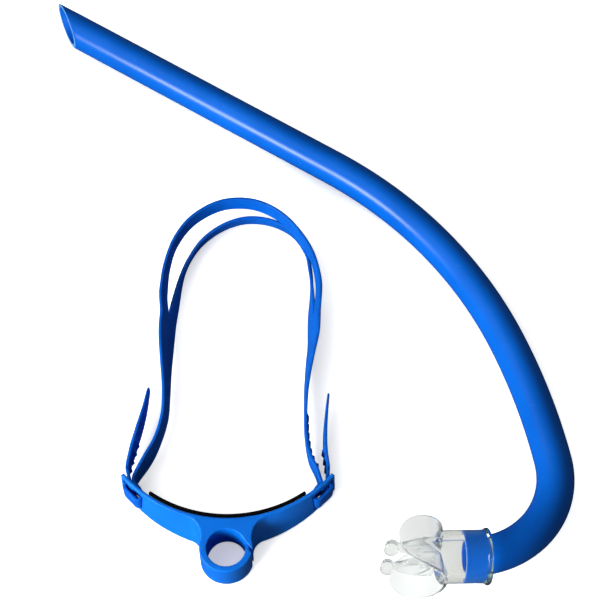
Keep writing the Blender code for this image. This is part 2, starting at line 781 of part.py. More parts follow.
# ---------------------------------------------------------------- strap
# One section of a strap.  outward is a unit normal in plan, lean is outwards in mm
# per mm of height, and tooth is the tooth height on the outward face.
Station = namedtuple(
    "Station", "centre outward half_thick bottom top lean tooth", defaults=(0.0,)
)


def ribbon(stations, toothed=False):
    rings = []
    edge = STRAP_CHAMFER
    for centre, outward, thick, bottom, top, lean, tooth in stations:
        teeth = []
        if toothed:
            low, high = bottom + TOOTH_MARGIN, top - TOOTH_MARGIN
            teeth = [
                (thick, low), (thick + tooth, low + TOOTH_SLOPE),
                (thick + tooth, high - TOOTH_SLOPE), (thick, high),
            ]
        section = [(thick, bottom + edge), *teeth, (thick, top - edge)]
        section += [
            (thick - edge, top), (-thick + edge, top), (-thick, top - edge),
            (-thick, bottom + edge), (-thick + edge, bottom), (thick - edge, bottom),
        ]
        middle = (bottom + top) / 2
        rings.append([
            world(*(centre + outward * (offset + lean * (z - middle))), z)
            for offset, z in section
        ])
    return loft(rings)


def side_lean(y, side):
    """How far a side band leans outwards, by its place along the strap."""
    share = ease((y - side.lean_y) / side.lean_run)
    lean = side.far_lean + (side.root_lean - side.far_lean) * share
    return lean * ease((y - LEAN_END_Y) / LEAN_END_RUN)


def side_heights(y):
    """Lowest and highest z of a side band."""
    share = ease((y - WIDENING_Y) / WIDENING_RUN)
    return [mix(near, root, share) for near, root in zip(STRAP_Z, ROOT_Z)]


def strap_course(side):
    """Side band, fold and tail as one centreline from the root, with the indices of
    the first and last points in the fold."""
    fold = [arc_point(radius, side.sign * degrees) for radius, degrees in FOLD]
    path = catmull([*side.band, *fold, *side.tail], per_span=10)
    centre = Vector(ARC_CENTRE)
    folded = [
        i for i, p in enumerate(path)
        if p.y < FOLD_LIMIT_Y and (centre - p).length > FOLD_LIMIT_RADIUS
    ]
    return path, folded[0], folded[-1]


def tooth_height(travel, first, last):
    """Height of the ratchet teeth at a distance along the strap."""
    if travel < first or travel > last:
        return 0.0
    share = ((travel - first) % TOOTH_PITCH) / TOOTH_PITCH
    if share < TOOTH_PEAK:
        return TOOTH_HEIGHT * share / TOOTH_PEAK
    return TOOTH_HEIGHT * (1 - share) / (1 - TOOTH_PEAK)


def strap_end_shape(side):
    """From the rear loop's end, round the bar, to the base of the tail.  The teeth are
    on the face that the fold brings inside."""
    course, first, last = strap_course(side)
    travel = lengths(course)
    fold_start, fold_end = travel[first], travel[last]
    kept = [
        (p, travel[i]) for i, p in enumerate(course)
        if not (i < first and p.y > LOOP_END_Y - GAP)
        and not (i > last and p.y > TAIL_BASE_Y - GAP)
    ]
    course, travel = zip(*kept)
    main_teeth = (fold_start - MAIN_TEETH * TOOTH_PITCH, fold_start - MAIN_TEETH_CLEARANCE)
    tail_start = fold_end + TAIL_TEETH_CLEARANCE
    tail_teeth = (tail_start, tail_start + TAIL_TEETH * TOOTH_PITCH)

    # four stations to a tooth, close ones in the fold and wide ones elsewhere
    stops = []
    stop = travel[0]
    while stop < travel[-1] - 0.4:
        stops.append(stop)
        if main_teeth[0] - 1 <= stop < main_teeth[1] or fold_end <= stop < tail_teeth[1] + 1:
            stop += TOOTH_PITCH / 4
        elif main_teeth[1] <= stop < fold_end:
            stop += FOLD_STEP
        else:
            stop += END_STEP
    stops.append(travel[-1])

    path = [point_at(course, travel, stop) for stop in stops]
    stations = []
    for stop, point, outward in zip(stops, path, normals(path, side is RIGHT)):
        on_band = stop < fold_start
        bottom, top = side_heights(point.y) if on_band else STRAP_Z
        lean = side_lean(point.y, side) if on_band else 0.0
        tooth = max(tooth_height(stop, *main_teeth), tooth_height(stop, *tail_teeth))
        stations.append(Station(point, outward, STRAP_THICK / 2, bottom, top, lean, tooth))
    return ribbon(stations, toothed=True)


def strap_tail_shape(side):
    """The loose tail, narrower and thinner towards its tip."""
    course, _, last = strap_course(side)
    path = resample([p for p in course[last + 1:] if p.y >= TAIL_BASE_Y], TAIL_STEP)
    travel = lengths(path)
    middle = (STRAP_Z[0] + STRAP_Z[1]) / 2
    stations = []
    for point, outward, distance in zip(path, normals(path, side is RIGHT), travel):
        share = distance / travel[-1]
        narrow = max(0.0, (share - TAIL_NARROW_START) / (1 - TAIL_NARROW_START))
        thin = max(0.0, (share - TAIL_THIN_START) / (1 - TAIL_THIN_START))
        half = (STRAP_Z[1] - middle) * (1 - TAIL_NARROW_LOSS * narrow ** TAIL_NARROW_POWER)
        half_thick = STRAP_THICK / 2 * (1 - TAIL_THIN_LOSS * thin)
        stations.append(Station(point, outward, half_thick, middle - half, middle + half, 0.0))
    return ribbon(stations)


def band_lean(share, middle_lean):
    """Lean along a rear band; share is 0 at the left root and 1 at the right root."""
    if share < 0.5:
        return mix(LEFT.root_lean, middle_lean, ease(share / LEFT_LEAN_FADE))
    return mix(RIGHT.root_lean, middle_lean, ease((1 - share) / RIGHT_LEAN_FADE))


def band_stations(points, heights, middle_lean, end_y):
    """Stations of a rear band.  Its end faces stand square to Y at end_y."""
    path = resample(catmull(points), BAND_STEP)
    travel = lengths(path)
    out = [
        Station(
            point, outward, STRAP_THICK / 2, *heights,
            band_lean(distance / travel[-1], middle_lean),
        )
        for point, outward, distance in zip(path, normals(path, True), travel)
    ]
    for k, side in ((0, LEFT), (-1, RIGHT)):
        out[k] = out[k]._replace(
            centre=Vector((path[k].x, end_y)), outward=Vector((side.sign, 0.0))
        )
    return out


def root_stations(side, band_x):
    """The full-height root that carries both bands, from LOOP_END_Y to the split.
    band_x is where the lower band ends."""
    rise = (ROOT_Z[0] + ROOT_Z[1]) / 2 - (BAND_LOWER_Z[0] + BAND_LOWER_Z[1]) / 2
    root_x = band_x + side.sign * side.root_lean * rise
    path = resample(catmull(side.band), ROOT_STEP)[::-1]
    path = [p for p in path if LOOP_END_Y <= p.y < SPLIT_Y - 1.0]
    path = [Vector((path[0].x, LOOP_END_Y)), *path, Vector((root_x, SPLIT_Y))]
    out = []
    for point in path:
        share = ease((point.y - LOOP_END_Y) / (SPLIT_Y - LOOP_END_Y))
        bottom, top = side_heights(point.y)
        out.append(Station(
            centre=Vector((mix(point.x, root_x, share), point.y)),
            outward=Vector((side.sign, 0.0)),
            half_thick=STRAP_THICK / 2,
            bottom=mix(bottom, ROOT_Z[0], share),
            top=mix(top, ROOT_Z[1], share),
            lean=mix(side_lean(point.y, side), side.root_lean, share),
        ))
    return out


def build_rear_bands():
    """The lower band with its two roots is one piece, and the upper band another."""
    lower = band_stations(LOWER_BAND, BAND_LOWER_Z, LOWER_LEAN, SPLIT_Y + LOWER_BAND_GAP)
    left_root = root_stations(LEFT, lower[0].centre.x)
    right_root = root_stations(RIGHT, lower[-1].centre.x)
    mesh_object(
        "strap_rear_loop", ribbon(left_root + lower + right_root[::-1]),
        strap_silicone("loop"), origin=world(ARC_CENTRE[0], LOOP_END_Y),
    )
    upper = band_stations(UPPER_BAND, BAND_UPPER_Z, UPPER_LEAN, SPLIT_Y + GAP)
    mesh_object(
        "strap_upper_band", ribbon(upper),
        strap_silicone("upper"), origin=world(ARC_CENTRE[0], SPLIT_Y + GAP, ROOT_Z[1]),
    )


def build_strap_end(side):
    radius, degrees = BAR_MIDDLE
    mesh_object(
        "strap_end_" + side.name, strap_end_shape(side), strap_silicone("end_" + side.name),
        origin=world(*arc_point(radius, side.sign * degrees)),
    )


def build_strap_tail(side):
    mesh_object(
        "strap_tail_" + side.name, strap_tail_shape(side), strap_silicone("tail_" + side.name),
        origin=world(*side.tail[1]),
    )


# ---------------------------------------------------------------- build
def build():
    for obj in list(bpy.data.objects):
        bpy.data.objects.remove(obj, do_unlink=True)
    bpy.context.scene.unit_settings.scale_length = 1.0

    plane = tube_frame()
    mouth_end = Vector((*TUBE_MOUTH_END, 0.0)) * MM
    build_tube(plane, mouth_end)
    build_mouthpiece(plane, mouth_end)
    build_bracket()
    build_pad()
    build_rear_bands()
    for side in (LEFT, RIGHT):
        build_strap_end(side)
        build_strap_tail(side)


build()
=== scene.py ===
"""A blue snorkel lying on a white floor, with its head bracket and strap.

The parts are the bent tube, a clear mouthpiece on its near end, the bracket with an open
ring and a foam pad, and a toothed silicone strap that loops behind the bracket.

Sizes are in mm on a plan drawing seen from above: +x is right, -y is the front (towards
the camera), and z is the height above the floor.  place() takes the plan to the scene.
"""

import math
from collections import namedtuple

import bmesh
import bpy
import numpy as np
from mathutils import Matrix, Vector


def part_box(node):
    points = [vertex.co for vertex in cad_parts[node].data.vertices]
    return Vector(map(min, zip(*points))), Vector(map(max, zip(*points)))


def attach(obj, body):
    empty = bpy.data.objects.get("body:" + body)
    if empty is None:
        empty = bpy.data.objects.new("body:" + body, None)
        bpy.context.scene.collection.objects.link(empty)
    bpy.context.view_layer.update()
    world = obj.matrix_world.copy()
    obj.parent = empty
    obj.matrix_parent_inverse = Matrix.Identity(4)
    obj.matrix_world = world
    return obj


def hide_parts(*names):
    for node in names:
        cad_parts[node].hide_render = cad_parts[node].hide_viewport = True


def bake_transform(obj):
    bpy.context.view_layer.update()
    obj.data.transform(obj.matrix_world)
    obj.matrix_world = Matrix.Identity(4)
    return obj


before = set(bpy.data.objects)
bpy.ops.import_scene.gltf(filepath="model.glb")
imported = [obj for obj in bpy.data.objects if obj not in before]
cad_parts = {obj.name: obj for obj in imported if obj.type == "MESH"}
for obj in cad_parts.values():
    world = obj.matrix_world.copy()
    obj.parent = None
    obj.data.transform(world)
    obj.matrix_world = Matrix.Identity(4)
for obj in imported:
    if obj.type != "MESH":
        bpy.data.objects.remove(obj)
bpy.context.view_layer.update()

MM = 0.001

# ------------------------------------------------------------------ bracket sizes
# The bracket is an arc round ARC_CENTRE.  Its angles are in degrees from straight
# forward (-y), positive to the right.
ARC_CENTRE = (-42.0, -75.3)
ARC_REAR_R = 79.4
ARC_HALF_ANGLE = 49.6
BRACKET_H = 20.5
BRACKET_EDGE_R = 0.7
ARM_TOP_THICK = 2.4
ARM_FOOT_TIP_THICK = 3.0
ARM_FOOT_GAIN = 0.172  # mm of extra thickness per degree from the tip
ARM_FOOT_ROOT_ANGLE = 14.0
FILLET_TOP_R, FILLET_FOOT_R = 13.5, 9.0

RING_CENTRE = (-42.1, -172.9)
RING_BORE_R = 11.15
RING_R = 14.7
RING_FLARE = 0.7
# the slit through the ring: (radius, degrees from +x) of its inner and outer ends
SLIT_INNER, SLIT_OUTER = (10.4, 25.0), (18.5, -17.0)
SLIT_WIDTH = 1.7
SEAM_Y = -173.2  # where the jaw parts from the left of the ring

# angles of the two windows at each arm tip and of the bar between them
WINDOW_INNER, BAR_INNER, BAR_OUTER, WINDOW_OUTER = 36.9, 42.6, 46.0, 48.3
WINDOW_RADII = (70.0, 96.0)
WINDOW_Z = (2.7, 17.6)
BAR_FRONT_R = 81.6
BAR_CUT_OVERLAP = 0.4

FOAM_RADII = (76.9, 78.75)
FOAM_HALF_ANGLE = 35.4
FOAM_Z = (0.7, 20.0)
FILM_RADII = (78.85, 79.3)
FILM_MARGIN = 1.4

# the foam pad piece fixes where the plan drawing lies in the scene
pad_low, pad_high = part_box("forehead_foam_pad")
PLAN_OFFSET = (
    (pad_low.x + pad_high.x) / 2 / MM - ARC_CENTRE[0],
    pad_low.y / MM - (ARC_CENTRE[1] - FOAM_RADII[1]),
)

# ------------------------------------------------------------------ tube sizes
TUBE_OD, TUBE_WALL = 22.0, 2.0
TUBE_EDGE = 0.35
TUBE_MOUTH_END = (91.6, -181.5)
TUBE_HEADING = 2.0  # degrees from +x
TUBE_STUB = 4.0
TUBE_BENDS = ((54.4, 96.8), (405.0, 12.1), (266.0, 36.5))  # radius, degrees to the left
TUBE_STRAIGHT = 213.2
BEVEL_RUN = 30.9
BEVEL_ROLL = 1.5
TILT = 5.15
TILT_DOWNHILL = (0.607, 0.795)

# ------------------------------------------------------------------ mouthpiece sizes
# In its own frame x runs along the tube axis from the tube's end, positive into the tube.
SLEEVE_R, SLEEVE_END = 15.0, 13.0
BEAD_R, BEAD_HALF = 16.2, 1.7
AIRWAY_R = 9.0
SOCKET_R, SOCKET_FLOOR = 10.2, 0.25
NECK_END = -12.5
FLANGE_CURVE_R, FLANGE_THICK = 27.5, 2.0
FLANGE_HALF_LONG, FLANGE_HALF_SHORT = 42.6, 16.5
TAB_OFFSET, TAB_HALF_LONG, TAB_HALF_THICK = 12.5, 5.6, 2.2
TAB_END, TAB_BEAD_R = -42.0, 4.0
TAB_PLATE_HALF = 9.6
DIMPLES = (((5.6, -13.6, -6.8), 1.5), ((-27.5, -2.4, 15.0), 1.1))  # centre, radius

# ------------------------------------------------------------------ strap sizes
STRAP_THICK = 2.0
STRAP_Z = (3.6, 15.1)
BAND_LOWER_Z = (0.6, 10.4)
BAND_UPPER_Z = (11.4, 21.4)
STRAP_ROOT_Z = (BAND_LOWER_Z[0], BAND_UPPER_Z[1])
REFERENCE_Z = 11.0  # the height at which strap centrelines are given
SPLIT_Y, LOOP_START_Y, LOOP_END_Y = -17.0, -122.0, -30.0
UPPER_BLEND_Y = (-21.0, 8.0)
JOIN_LENGTH = 22.0  # over which bands are pulled onto the roots
STRAP_STEP = 0.4
CURVE_STEPS = 14
TOOTH_PITCH, TOOTH_H, TOOTH_MARGIN = 5.6, 1.1, 1.4
TOOTH_FADE = 0.8
TOOTH_SHARE = 0.58  # of the pitch, the rest is flat
SIDE_TOOTH_H = {"left": 0.5, "right": TOOTH_H}
TAIL_TOOTH_H = 1.35
TAIL_TEETH = {"left": 3.6, "right": 2.6}
TAIL_LEAN = {"left": -0.13, "right": -0.05}
TAIL_LAP = 6  # samples by which a free end starts inside the fold

# outward lean of the strap, in mm per mm of height
ROOT_LEAN = {"left": 0.34, "right": 0.31}
UPPER_LEAN, LOWER_LEAN = 0.1, -0.16

# centrelines on the plan, (x, y); the rear bands run from the left split to the right
UPPER_BAND = [
    (-82.2, -17.0), (-84.0, -8.0), (-84.2, 2.0), (-83.2, 14.0), (-79.0, 31.0),
    (-70.4, 46.0), (-59.8, 55.3), (-49.7, 60.2), (-39.5, 61.7), (-29.3, 60.6),
    (-19.1, 56.3), (-8.9, 48.2), (1.2, 35.0), (7.6, 22.3), (11.0, 8.0),
    (12.0, -4.0), (11.4, -17.0),
]
LOWER_BAND = [
    (-79.4, -17.0), (-78.0, -8.0), (-74.0, 14.3), (-70.0, 26.0), (-63.3, 37.8),
    (-54.3, 46.8), (-45.0, 52.5), (-34.5, 55.6), (-24.0, 55.2), (-14.0, 52.0),
    (-3.8, 44.6), (4.2, 30.0), (6.8, 15.0), (7.4, 0.0), (7.1, -17.0),
]
# from the split forward to the bracket
SIDES = {
    "left": [
        (-81.4, -17.0), (-81.9, -30.0), (-81.6, -50.0), (-80.8, -70.0),
        (-81.2, -86.0), (-85.4, -103.0), (-90.6, -114.5), (-94.9, -122.4),
    ],
    "right": [
        (9.8, -17.0), (8.9, -30.0), (6.2, -48.0), (4.1, -66.0),
        (3.4, -82.0), (3.7, -98.0), (6.1, -113.0), (10.2, -122.6),
    ],
}
# the fold round the bar: radius and angle on the left arm, mirrored for the right
FOLD_ENTRY = {"left": (75.8, 46.6), "right": (76.0, 45.2)}
FOLD = [
    (78.1, 44.4), (78.3, 42.0), (79.1, 39.8), (80.5, 38.4), (82.2, 37.8),
    (83.7, 37.9), (84.6, 38.8), (84.3, 41.0), (84.1, 44.0), (83.6, 46.3),
    (82.0, 47.0), (79.7, 47.2), (77.4, 48.4),
]
# from the fold back to the tip of the free end
TAILS = {
    "left": [(-101.3, -121.5), (-99.5, -109.0), (-96.1, -94.0), (-93.4, -81.0), (-91.4, -66.0)],
    "right": [(16.6, -121.5), (15.2, -109.0), (15.1, -96.0), (16.0, -83.0), (17.3, -70.0)],
}


# ------------------------------------------------------------------ placing and easing
def place(x, y, z=0.0):
    """From the plan drawing (mm) to the scene (m)."""
    return Vector(((x + PLAN_OFFSET[0]) * MM, (y + PLAN_OFFSET[1]) * MM, z * MM))


def arc_point(radius, degrees):
    """A point round the bracket's centre, measured from straight forward."""
    angle = math.radians(degrees)
    return (
        ARC_CENTRE[0] + radius * math.sin(angle),
        ARC_CENTRE[1] - radius * math.cos(angle),
    )


def ring_point(radius, degrees):
    """A point round the ring's centre, measured from +x."""
    angle = math.radians(degrees)
    return Vector((
        RING_CENTRE[0] + radius * math.cos(angle),
        RING_CENTRE[1] + radius * math.sin(angle),
    ))


def ease(share):
    """Smooth step from 0 to 1."""
    share = min(1.0, max(0.0, share))
    return share * share * (3 - 2 * share)


def fade(value, start, length):
    """Smooth step that leaves 0 at start and reaches 1 after length."""
    return ease((value - start) / length)


# ------------------------------------------------------------------ meshes
def walls(rings, sides, closed=False):
    """Quads between neighbouring rings; closed also joins the last ring to the first."""
    faces = []
    for i in range(rings if closed else rings - 1):
        j = (i + 1) % rings
        for k in range(sides):
            l = (k + 1) % sides
            faces.append((i * sides + k, i * sides + l, j * sides + l, j * sides + k))
    return faces


def caps(rings, sides):
    """One face over the first ring and one over the last."""
    return [list(range(sides))[::-1], list(range((rings - 1) * sides, rings * sides))]


def add_object(name, data):
    obj = bpy.data.objects.new(name, data)
    bpy.context.scene.collection.objects.link(obj)
    return obj


def new_object(name, verts, faces, materials=(), smooth_angle=None, face_slots=None, uvs=None):
    """A mesh object with outward normals; uvs holds one pair for each vertex."""
    mesh = bpy.data.meshes.new(name)
    mesh.from_pydata(verts, [], faces)
    mesh.update()
    if uvs is not None:
        layer = mesh.uv_layers.new(name="UVMap")
        corner_uvs = np.array([uvs[v] for face in faces for v in face], np.float32)
        layer.data.foreach_set("uv", corner_uvs.ravel())
    for material in materials:
        mesh.materials.append(material)
    if face_slots is not None:
        mesh.polygons.foreach_set("material_index", np.array(face_slots, np.int32))
    bm = bmesh.new()
    bm.from_mesh(mesh)
    bmesh.ops.remove_doubles(bm, verts=bm.verts, dist=1e-7)
    bmesh.ops.recalc_face_normals(bm, faces=bm.faces)
    if bm.calc_volume(signed=True) < 0:
        bmesh.ops.reverse_faces(bm, faces=bm.faces)
    bm.to_mesh(mesh)
    bm.free()
    if smooth_angle:
        mesh.shade_smooth()
        mesh.set_sharp_from_angle(angle=math.radians(smooth_angle))
    return add_object(name, mesh)


def moulded(name, body, material, cuts, voxel, soften_passes, unions=()):
    """Joins and cuts body with the helpers, rounds its edges by a voxel remesh, and
    returns the result as a plain object.  The body and the helpers are removed."""
    for operation, helpers in (("UNION", unions), ("DIFFERENCE", cuts)):
        for helper in helpers:
            boolean = body.modifiers.new(operation, "BOOLEAN")
            boolean.operation = operation
            boolean.solver = "MANIFOLD"
            boolean.object = helper
    remesh = body.modifiers.new("remesh", "REMESH")
    remesh.mode = "VOXEL"
    remesh.voxel_size = voxel * MM
    remesh.use_smooth_shade = True
    soften = body.modifiers.new("soften", "SMOOTH")
    soften.factor = 0.5
    soften.iterations = soften_passes

    bpy.context.view_layer.update()
    graph = bpy.context.evaluated_depsgraph_get()
    mesh = bpy.data.meshes.new_from_object(body.evaluated_get(graph))
    mesh.name = name
    mesh.materials.clear()
    mesh.materials.append(material)
    mesh.polygons.foreach_set("material_index", np.zeros(len(mesh.polygons), np.int32))
    mesh.shade_smooth()
    for used in [body, *unions, *cuts]:
        bpy.data.objects.remove(used, do_unlink=True)
    return add_object(name, mesh)


def stand_in(obj, *pieces):
    """Hides these CAD pieces, which the object stands in for."""
    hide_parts(*pieces)


# ------------------------------------------------------------------ materials
class Shader:
    """A node material; its methods return the output socket that is used next."""

    def __init__(self, name):
        self.material = bpy.data.materials.new(name)
        self.material.use_nodes = True
        self.tree = self.material.node_tree
        self.principled = self.tree.nodes["Principled BSDF"]
        self.output = self.tree.nodes["Material Output"]

    def fill(self, node, inputs):
        """Links the sockets and sets the plain values among inputs."""
        for key, value in inputs.items():
            if isinstance(value, bpy.types.NodeSocket):
                self.tree.links.new(value, node.inputs[key])
            else:
                node.inputs[key].default_value = value

    def surface(self, inputs):
        self.fill(self.principled, inputs)

    def node(self, kind, inputs=None, **settings):
        node = self.tree.nodes.new("ShaderNode" + kind)
        for name, value in settings.items():
            setattr(node, name, value)
        self.fill(node, inputs or {})
        return node

    def coords(self, kind="Object", scale=(1, 1, 1), rotation=(0, 0, 0)):
        source = self.node("TexCoord").outputs[kind]
        mapping = {"Vector": source, "Scale": scale, "Rotation": rotation}
        return self.node("Mapping", mapping).outputs["Vector"]

    def noise(self, where, scale, detail=3.0, roughness=0.5):
        inputs = {"Vector": where, "Scale": scale, "Detail": detail, "Roughness": roughness}
        return self.node("TexNoise", inputs).outputs["Fac"]

    def ramp(self, source, stops, low, high):
        """Colour low at the first stop, running to colour high at the second."""
        node = self.node("ValToRGB", {"Fac": source})
        for element, position, colour in zip(node.color_ramp.elements, stops, (low, high)):
            element.position = position
            element.color = (*colour, 1)
        return node.outputs["Color"]

    def span(self, source, to, between=(0.3, 0.7)):
        """Maps the range between linearly onto the range to, clamped."""
        node = self.node("MapRange", {
            "Value": source,
            "From Min": between[0], "From Max": between[1],
            "To Min": to[0], "To Max": to[1],
        })
        return node.outputs["Result"]

    def bump(self, height, strength, distance, over=None):
        """A bump normal, laid over an earlier one if given."""
        inputs = {"Height": height, "Strength": strength, "Distance": distance}
        if over is not None:
            inputs["Normal"] = over
        return self.node("Bump", inputs).outputs["Normal"]

    def mix(self, factor, first, second):
        """Mixes two colours, each a socket or an RGB tuple."""
        colours = [(*c, 1) if isinstance(c, tuple) else c for c in (first, second)]
        # inputs 6 and 7 are the node's colour sockets
        inputs = {0: factor, 6: colours[0], 7: colours[1]}
        return self.node("Mix", inputs, data_type="RGBA").outputs["Result"]

    def math(self, operation, *values):
        return self.node("Math", dict(enumerate(values)), operation=operation).outputs["Value"]

    def subsurface(self, weight, radius=(0.0003, 0.0008, 0.0020)):
        self.surface({
            "Subsurface Weight": weight,
            "Subsurface Radius": radius,
            "Subsurface Scale": 1.0,
        })


def tube_material():
    shader = Shader("tube_blue_pvc")
    where = shader.coords()
    cloud = shader.noise(where, scale=22.0)
    shade = shader.ramp(
        cloud, stops=(0.3, 0.75), low=(0.0006, 0.110, 0.560), high=(0.0012, 0.138, 0.670)
    )
    # faint lengthwise drawing lines from the extrusion
    lines = shader.noise(shader.coords("UV", scale=(3.0, 900.0, 1.0)), scale=1.0, detail=2.0)
    line_share = shader.span(lines, between=(0.35, 0.7), to=(0.0, 0.16))
    tone = shader.mix(line_share, shade, (0.002, 0.155, 0.71))
    # handling scuffs, short and sparse
    scuff_at = shader.coords(scale=(45.0, 900.0, 400.0), rotation=(0.2, 0.4, 0.9))
    scuff = shader.noise(scuff_at, scale=1.0, detail=4.0, roughness=0.6)
    mark = shader.span(scuff, between=(0.68, 0.80), to=(0.0, 1.0))
    mark_share = shader.span(mark, between=(0.0, 1.0), to=(0.0, 0.10))
    # scuffs are 0.12 rougher than the plain skin
    plain_roughness = shader.span(cloud, between=(0.3, 0.8), to=(0.23, 0.28))
    soft = shader.bump(
        shader.noise(where, scale=55.0, detail=2.0), strength=0.05, distance=0.0006
    )
    fine = shader.bump(lines, strength=0.03, distance=0.00008, over=soft)
    shader.surface({
        "Base Color": shader.mix(mark_share, tone, (0.12, 0.32, 0.85)),
        "Roughness": shader.math("MULTIPLY_ADD", mark, 0.12, plain_roughness),
        "Normal": shader.bump(scuff, strength=0.02, distance=0.00006, over=fine),
        "IOR": 1.5,
        "Specular IOR Level": 0.40,
        "Coat Weight": 0.10,
        "Coat Roughness": 0.22,
    })
    shader.subsurface(weight=0.06)
    return shader.material


def cut_rim_material():
    shader = Shader("tube_cut_rim")
    grain = shader.noise(shader.coords(), scale=1800.0, roughness=0.6)
    shader.surface({
        "Base Color": shader.ramp(
            grain, stops=(0.3, 0.7), low=(0.10, 0.36, 0.80), high=(0.24, 0.52, 0.92)
        ),
        "Roughness": shader.span(grain, to=(0.35, 0.55)),
        "Normal": shader.bump(grain, strength=0.15, distance=0.0002),
    })
    return shader.material


def bracket_material():
    shader = Shader("moulded_blue_plastic")
    where = shader.coords()
    shade = shader.ramp(
        shader.noise(where, scale=40.0),
        stops=(0.3, 0.75), low=(0.0012, 0.134, 0.610), high=(0.0025, 0.166, 0.720),
    )
    # spots of paler wear along the convex edges
    pointiness = shader.node("NewGeometry").outputs["Pointiness"]
    edge = shader.span(pointiness, between=(0.52, 0.60), to=(0.0, 1.0))
    spot_noise = shader.noise(where, scale=700.0, detail=4.0, roughness=0.65)
    spots = shader.span(spot_noise, between=(0.50, 0.66), to=(0.0, 1.0))
    wear = shader.math("MULTIPLY", edge, spots)
    wear_share = shader.span(wear, between=(0.0, 1.0), to=(0.0, 0.35))
    texture = shader.noise(where, scale=2600.0, detail=2.0)
    flow = shader.bump(
        shader.noise(where, scale=120.0, detail=2.0), strength=0.06, distance=0.0004
    )
    shader.surface({
        "Base Color": shader.mix(wear_share, shade, (0.10, 0.34, 0.88)),
        "Roughness": shader.span(texture, to=(0.30, 0.42)),
        "Normal": shader.bump(texture, strength=0.10, distance=0.00006, over=flow),
        "IOR": 1.49,
        "Specular IOR Level": 0.40,
    })
    shader.subsurface(weight=0.08)
    return shader.material


def strap_material():
    shader = Shader("strap_blue_silicone")
    where = shader.coords()
    shade = shader.ramp(
        shader.noise(where, scale=60.0),
        stops=(0.3, 0.75), low=(0.0008, 0.098, 0.500), high=(0.0015, 0.130, 0.630),
    )
    dust_noise = shader.noise(where, scale=3200.0, detail=2.0, roughness=0.6)
    dust = shader.span(dust_noise, between=(0.70, 0.78), to=(0.0, 0.10))
    skin = shader.noise(where, scale=1500.0, roughness=0.55)
    wave = shader.bump(
        shader.noise(where, scale=160.0, detail=2.0), strength=0.08, distance=0.0004
    )
    shader.surface({
        "Base Color": shader.mix(dust, shade, (0.30, 0.42, 0.62)),
        "Roughness": shader.span(skin, to=(0.36, 0.50)),
        "Normal": shader.bump(skin, strength=0.12, distance=0.00008, over=wave),
        "IOR": 1.41,
        "Specular IOR Level": 0.32,
    })
    shader.subsurface(weight=0.15, radius=(0.0004, 0.0010, 0.0026))
    return shader.material


def foam_material():
    shader = Shader("black_foam")
    where = shader.coords()
    cells = shader.node("TexVoronoi", {"Vector": where, "Scale": 2400.0}, feature="F1")
    grain = shader.noise(where, scale=900.0, detail=4.0, roughness=0.6)
    pores = shader.bump(cells.outputs["Distance"], strength=0.6, distance=0.0003)
    shader.surface({
        "Base Color": shader.ramp(
            grain, stops=(0.3, 0.75), low=(0.0012, 0.0013, 0.0015), high=(0.005, 0.005, 0.0055)
        ),
        "Roughness": shader.span(grain, to=(0.85, 1.0)),
        "Normal": shader.bump(grain, strength=0.4, distance=0.0003, over=pores),
        "Specular IOR Level": 0.02,
    })
    return shader.material


def film_material():
    shader = Shader("adhesive_film")
    grain = shader.noise(shader.coords(), scale=300.0)
    shader.surface({
        "Base Color": shader.ramp(
            grain, stops=(0.3, 0.7), low=(0.50, 0.49, 0.43), high=(0.62, 0.61, 0.55)
        ),
        "Roughness": shader.span(grain, to=(0.3, 0.5)),
        "Normal": shader.bump(grain, strength=0.1, distance=0.0001),
    })
    return shader.material


def silicone_material():
    shader = Shader("clear_silicone")
    where = shader.coords()
    tint = shader.ramp(
        shader.noise(where, scale=45.0),
        stops=(0.3, 0.75), low=(0.950, 0.955, 0.945), high=(0.975, 0.978, 0.970),
    )
    # a little milky at the mouth end; darker and bluer where the sleeve lies over the tube,
    # painted shade for the tube seen through it
    across = shader.node("SeparateXYZ", {"Vector": where}).outputs["X"]
    tube_end = MOUTH_FRAME.translation.x
    grip = shader.span(
        across, between=(tube_end - 0.2 * MM, tube_end + 1.2 * MM), to=(0.0, 1.0)
    )
    clarity = shader.span(
        across, between=(tube_end - 20.0 * MM, tube_end - 6.0 * MM), to=(0.91, 1.0)
    )
    skin = shader.noise(where, scale=420.0, roughness=0.55)
    wave = shader.bump(
        shader.noise(where, scale=130.0, detail=2.0), strength=0.10, distance=0.0004
    )
    shader.surface({
        # painted shade: the tint over the tube darkens it
        "Base Color": shader.mix(grip, tint, (0.50, 0.80, 0.80)),
        "Roughness": shader.span(skin, to=(0.05, 0.15)),
        "Normal": shader.bump(skin, strength=0.05, distance=0.00008, over=wave),
        "Transmission Weight": clarity,
        "IOR": 1.36,
    })
    # shadow rays pass straight through, so that the piece doesn't cast the solid
    # shadow of an opaque one
    clear = shader.node("BsdfTransparent", {"Color": (0.68, 0.74, 0.76, 1)})
    shadow_mix = shader.node("MixShader", {
        "Fac": shader.node("LightPath").outputs["Is Shadow Ray"],
        1: shader.principled.outputs["BSDF"],
        2: clear.outputs["BSDF"],
    })
    absorption = shader.node(
        "VolumeAbsorption", {"Color": (0.50, 0.515, 0.44, 1), "Density": 27.0}
    )
    shader.fill(shader.output, {
        "Surface": shadow_mix.outputs["Shader"],
        "Volume": absorption.outputs["Volume"],
    })
    return shader.material


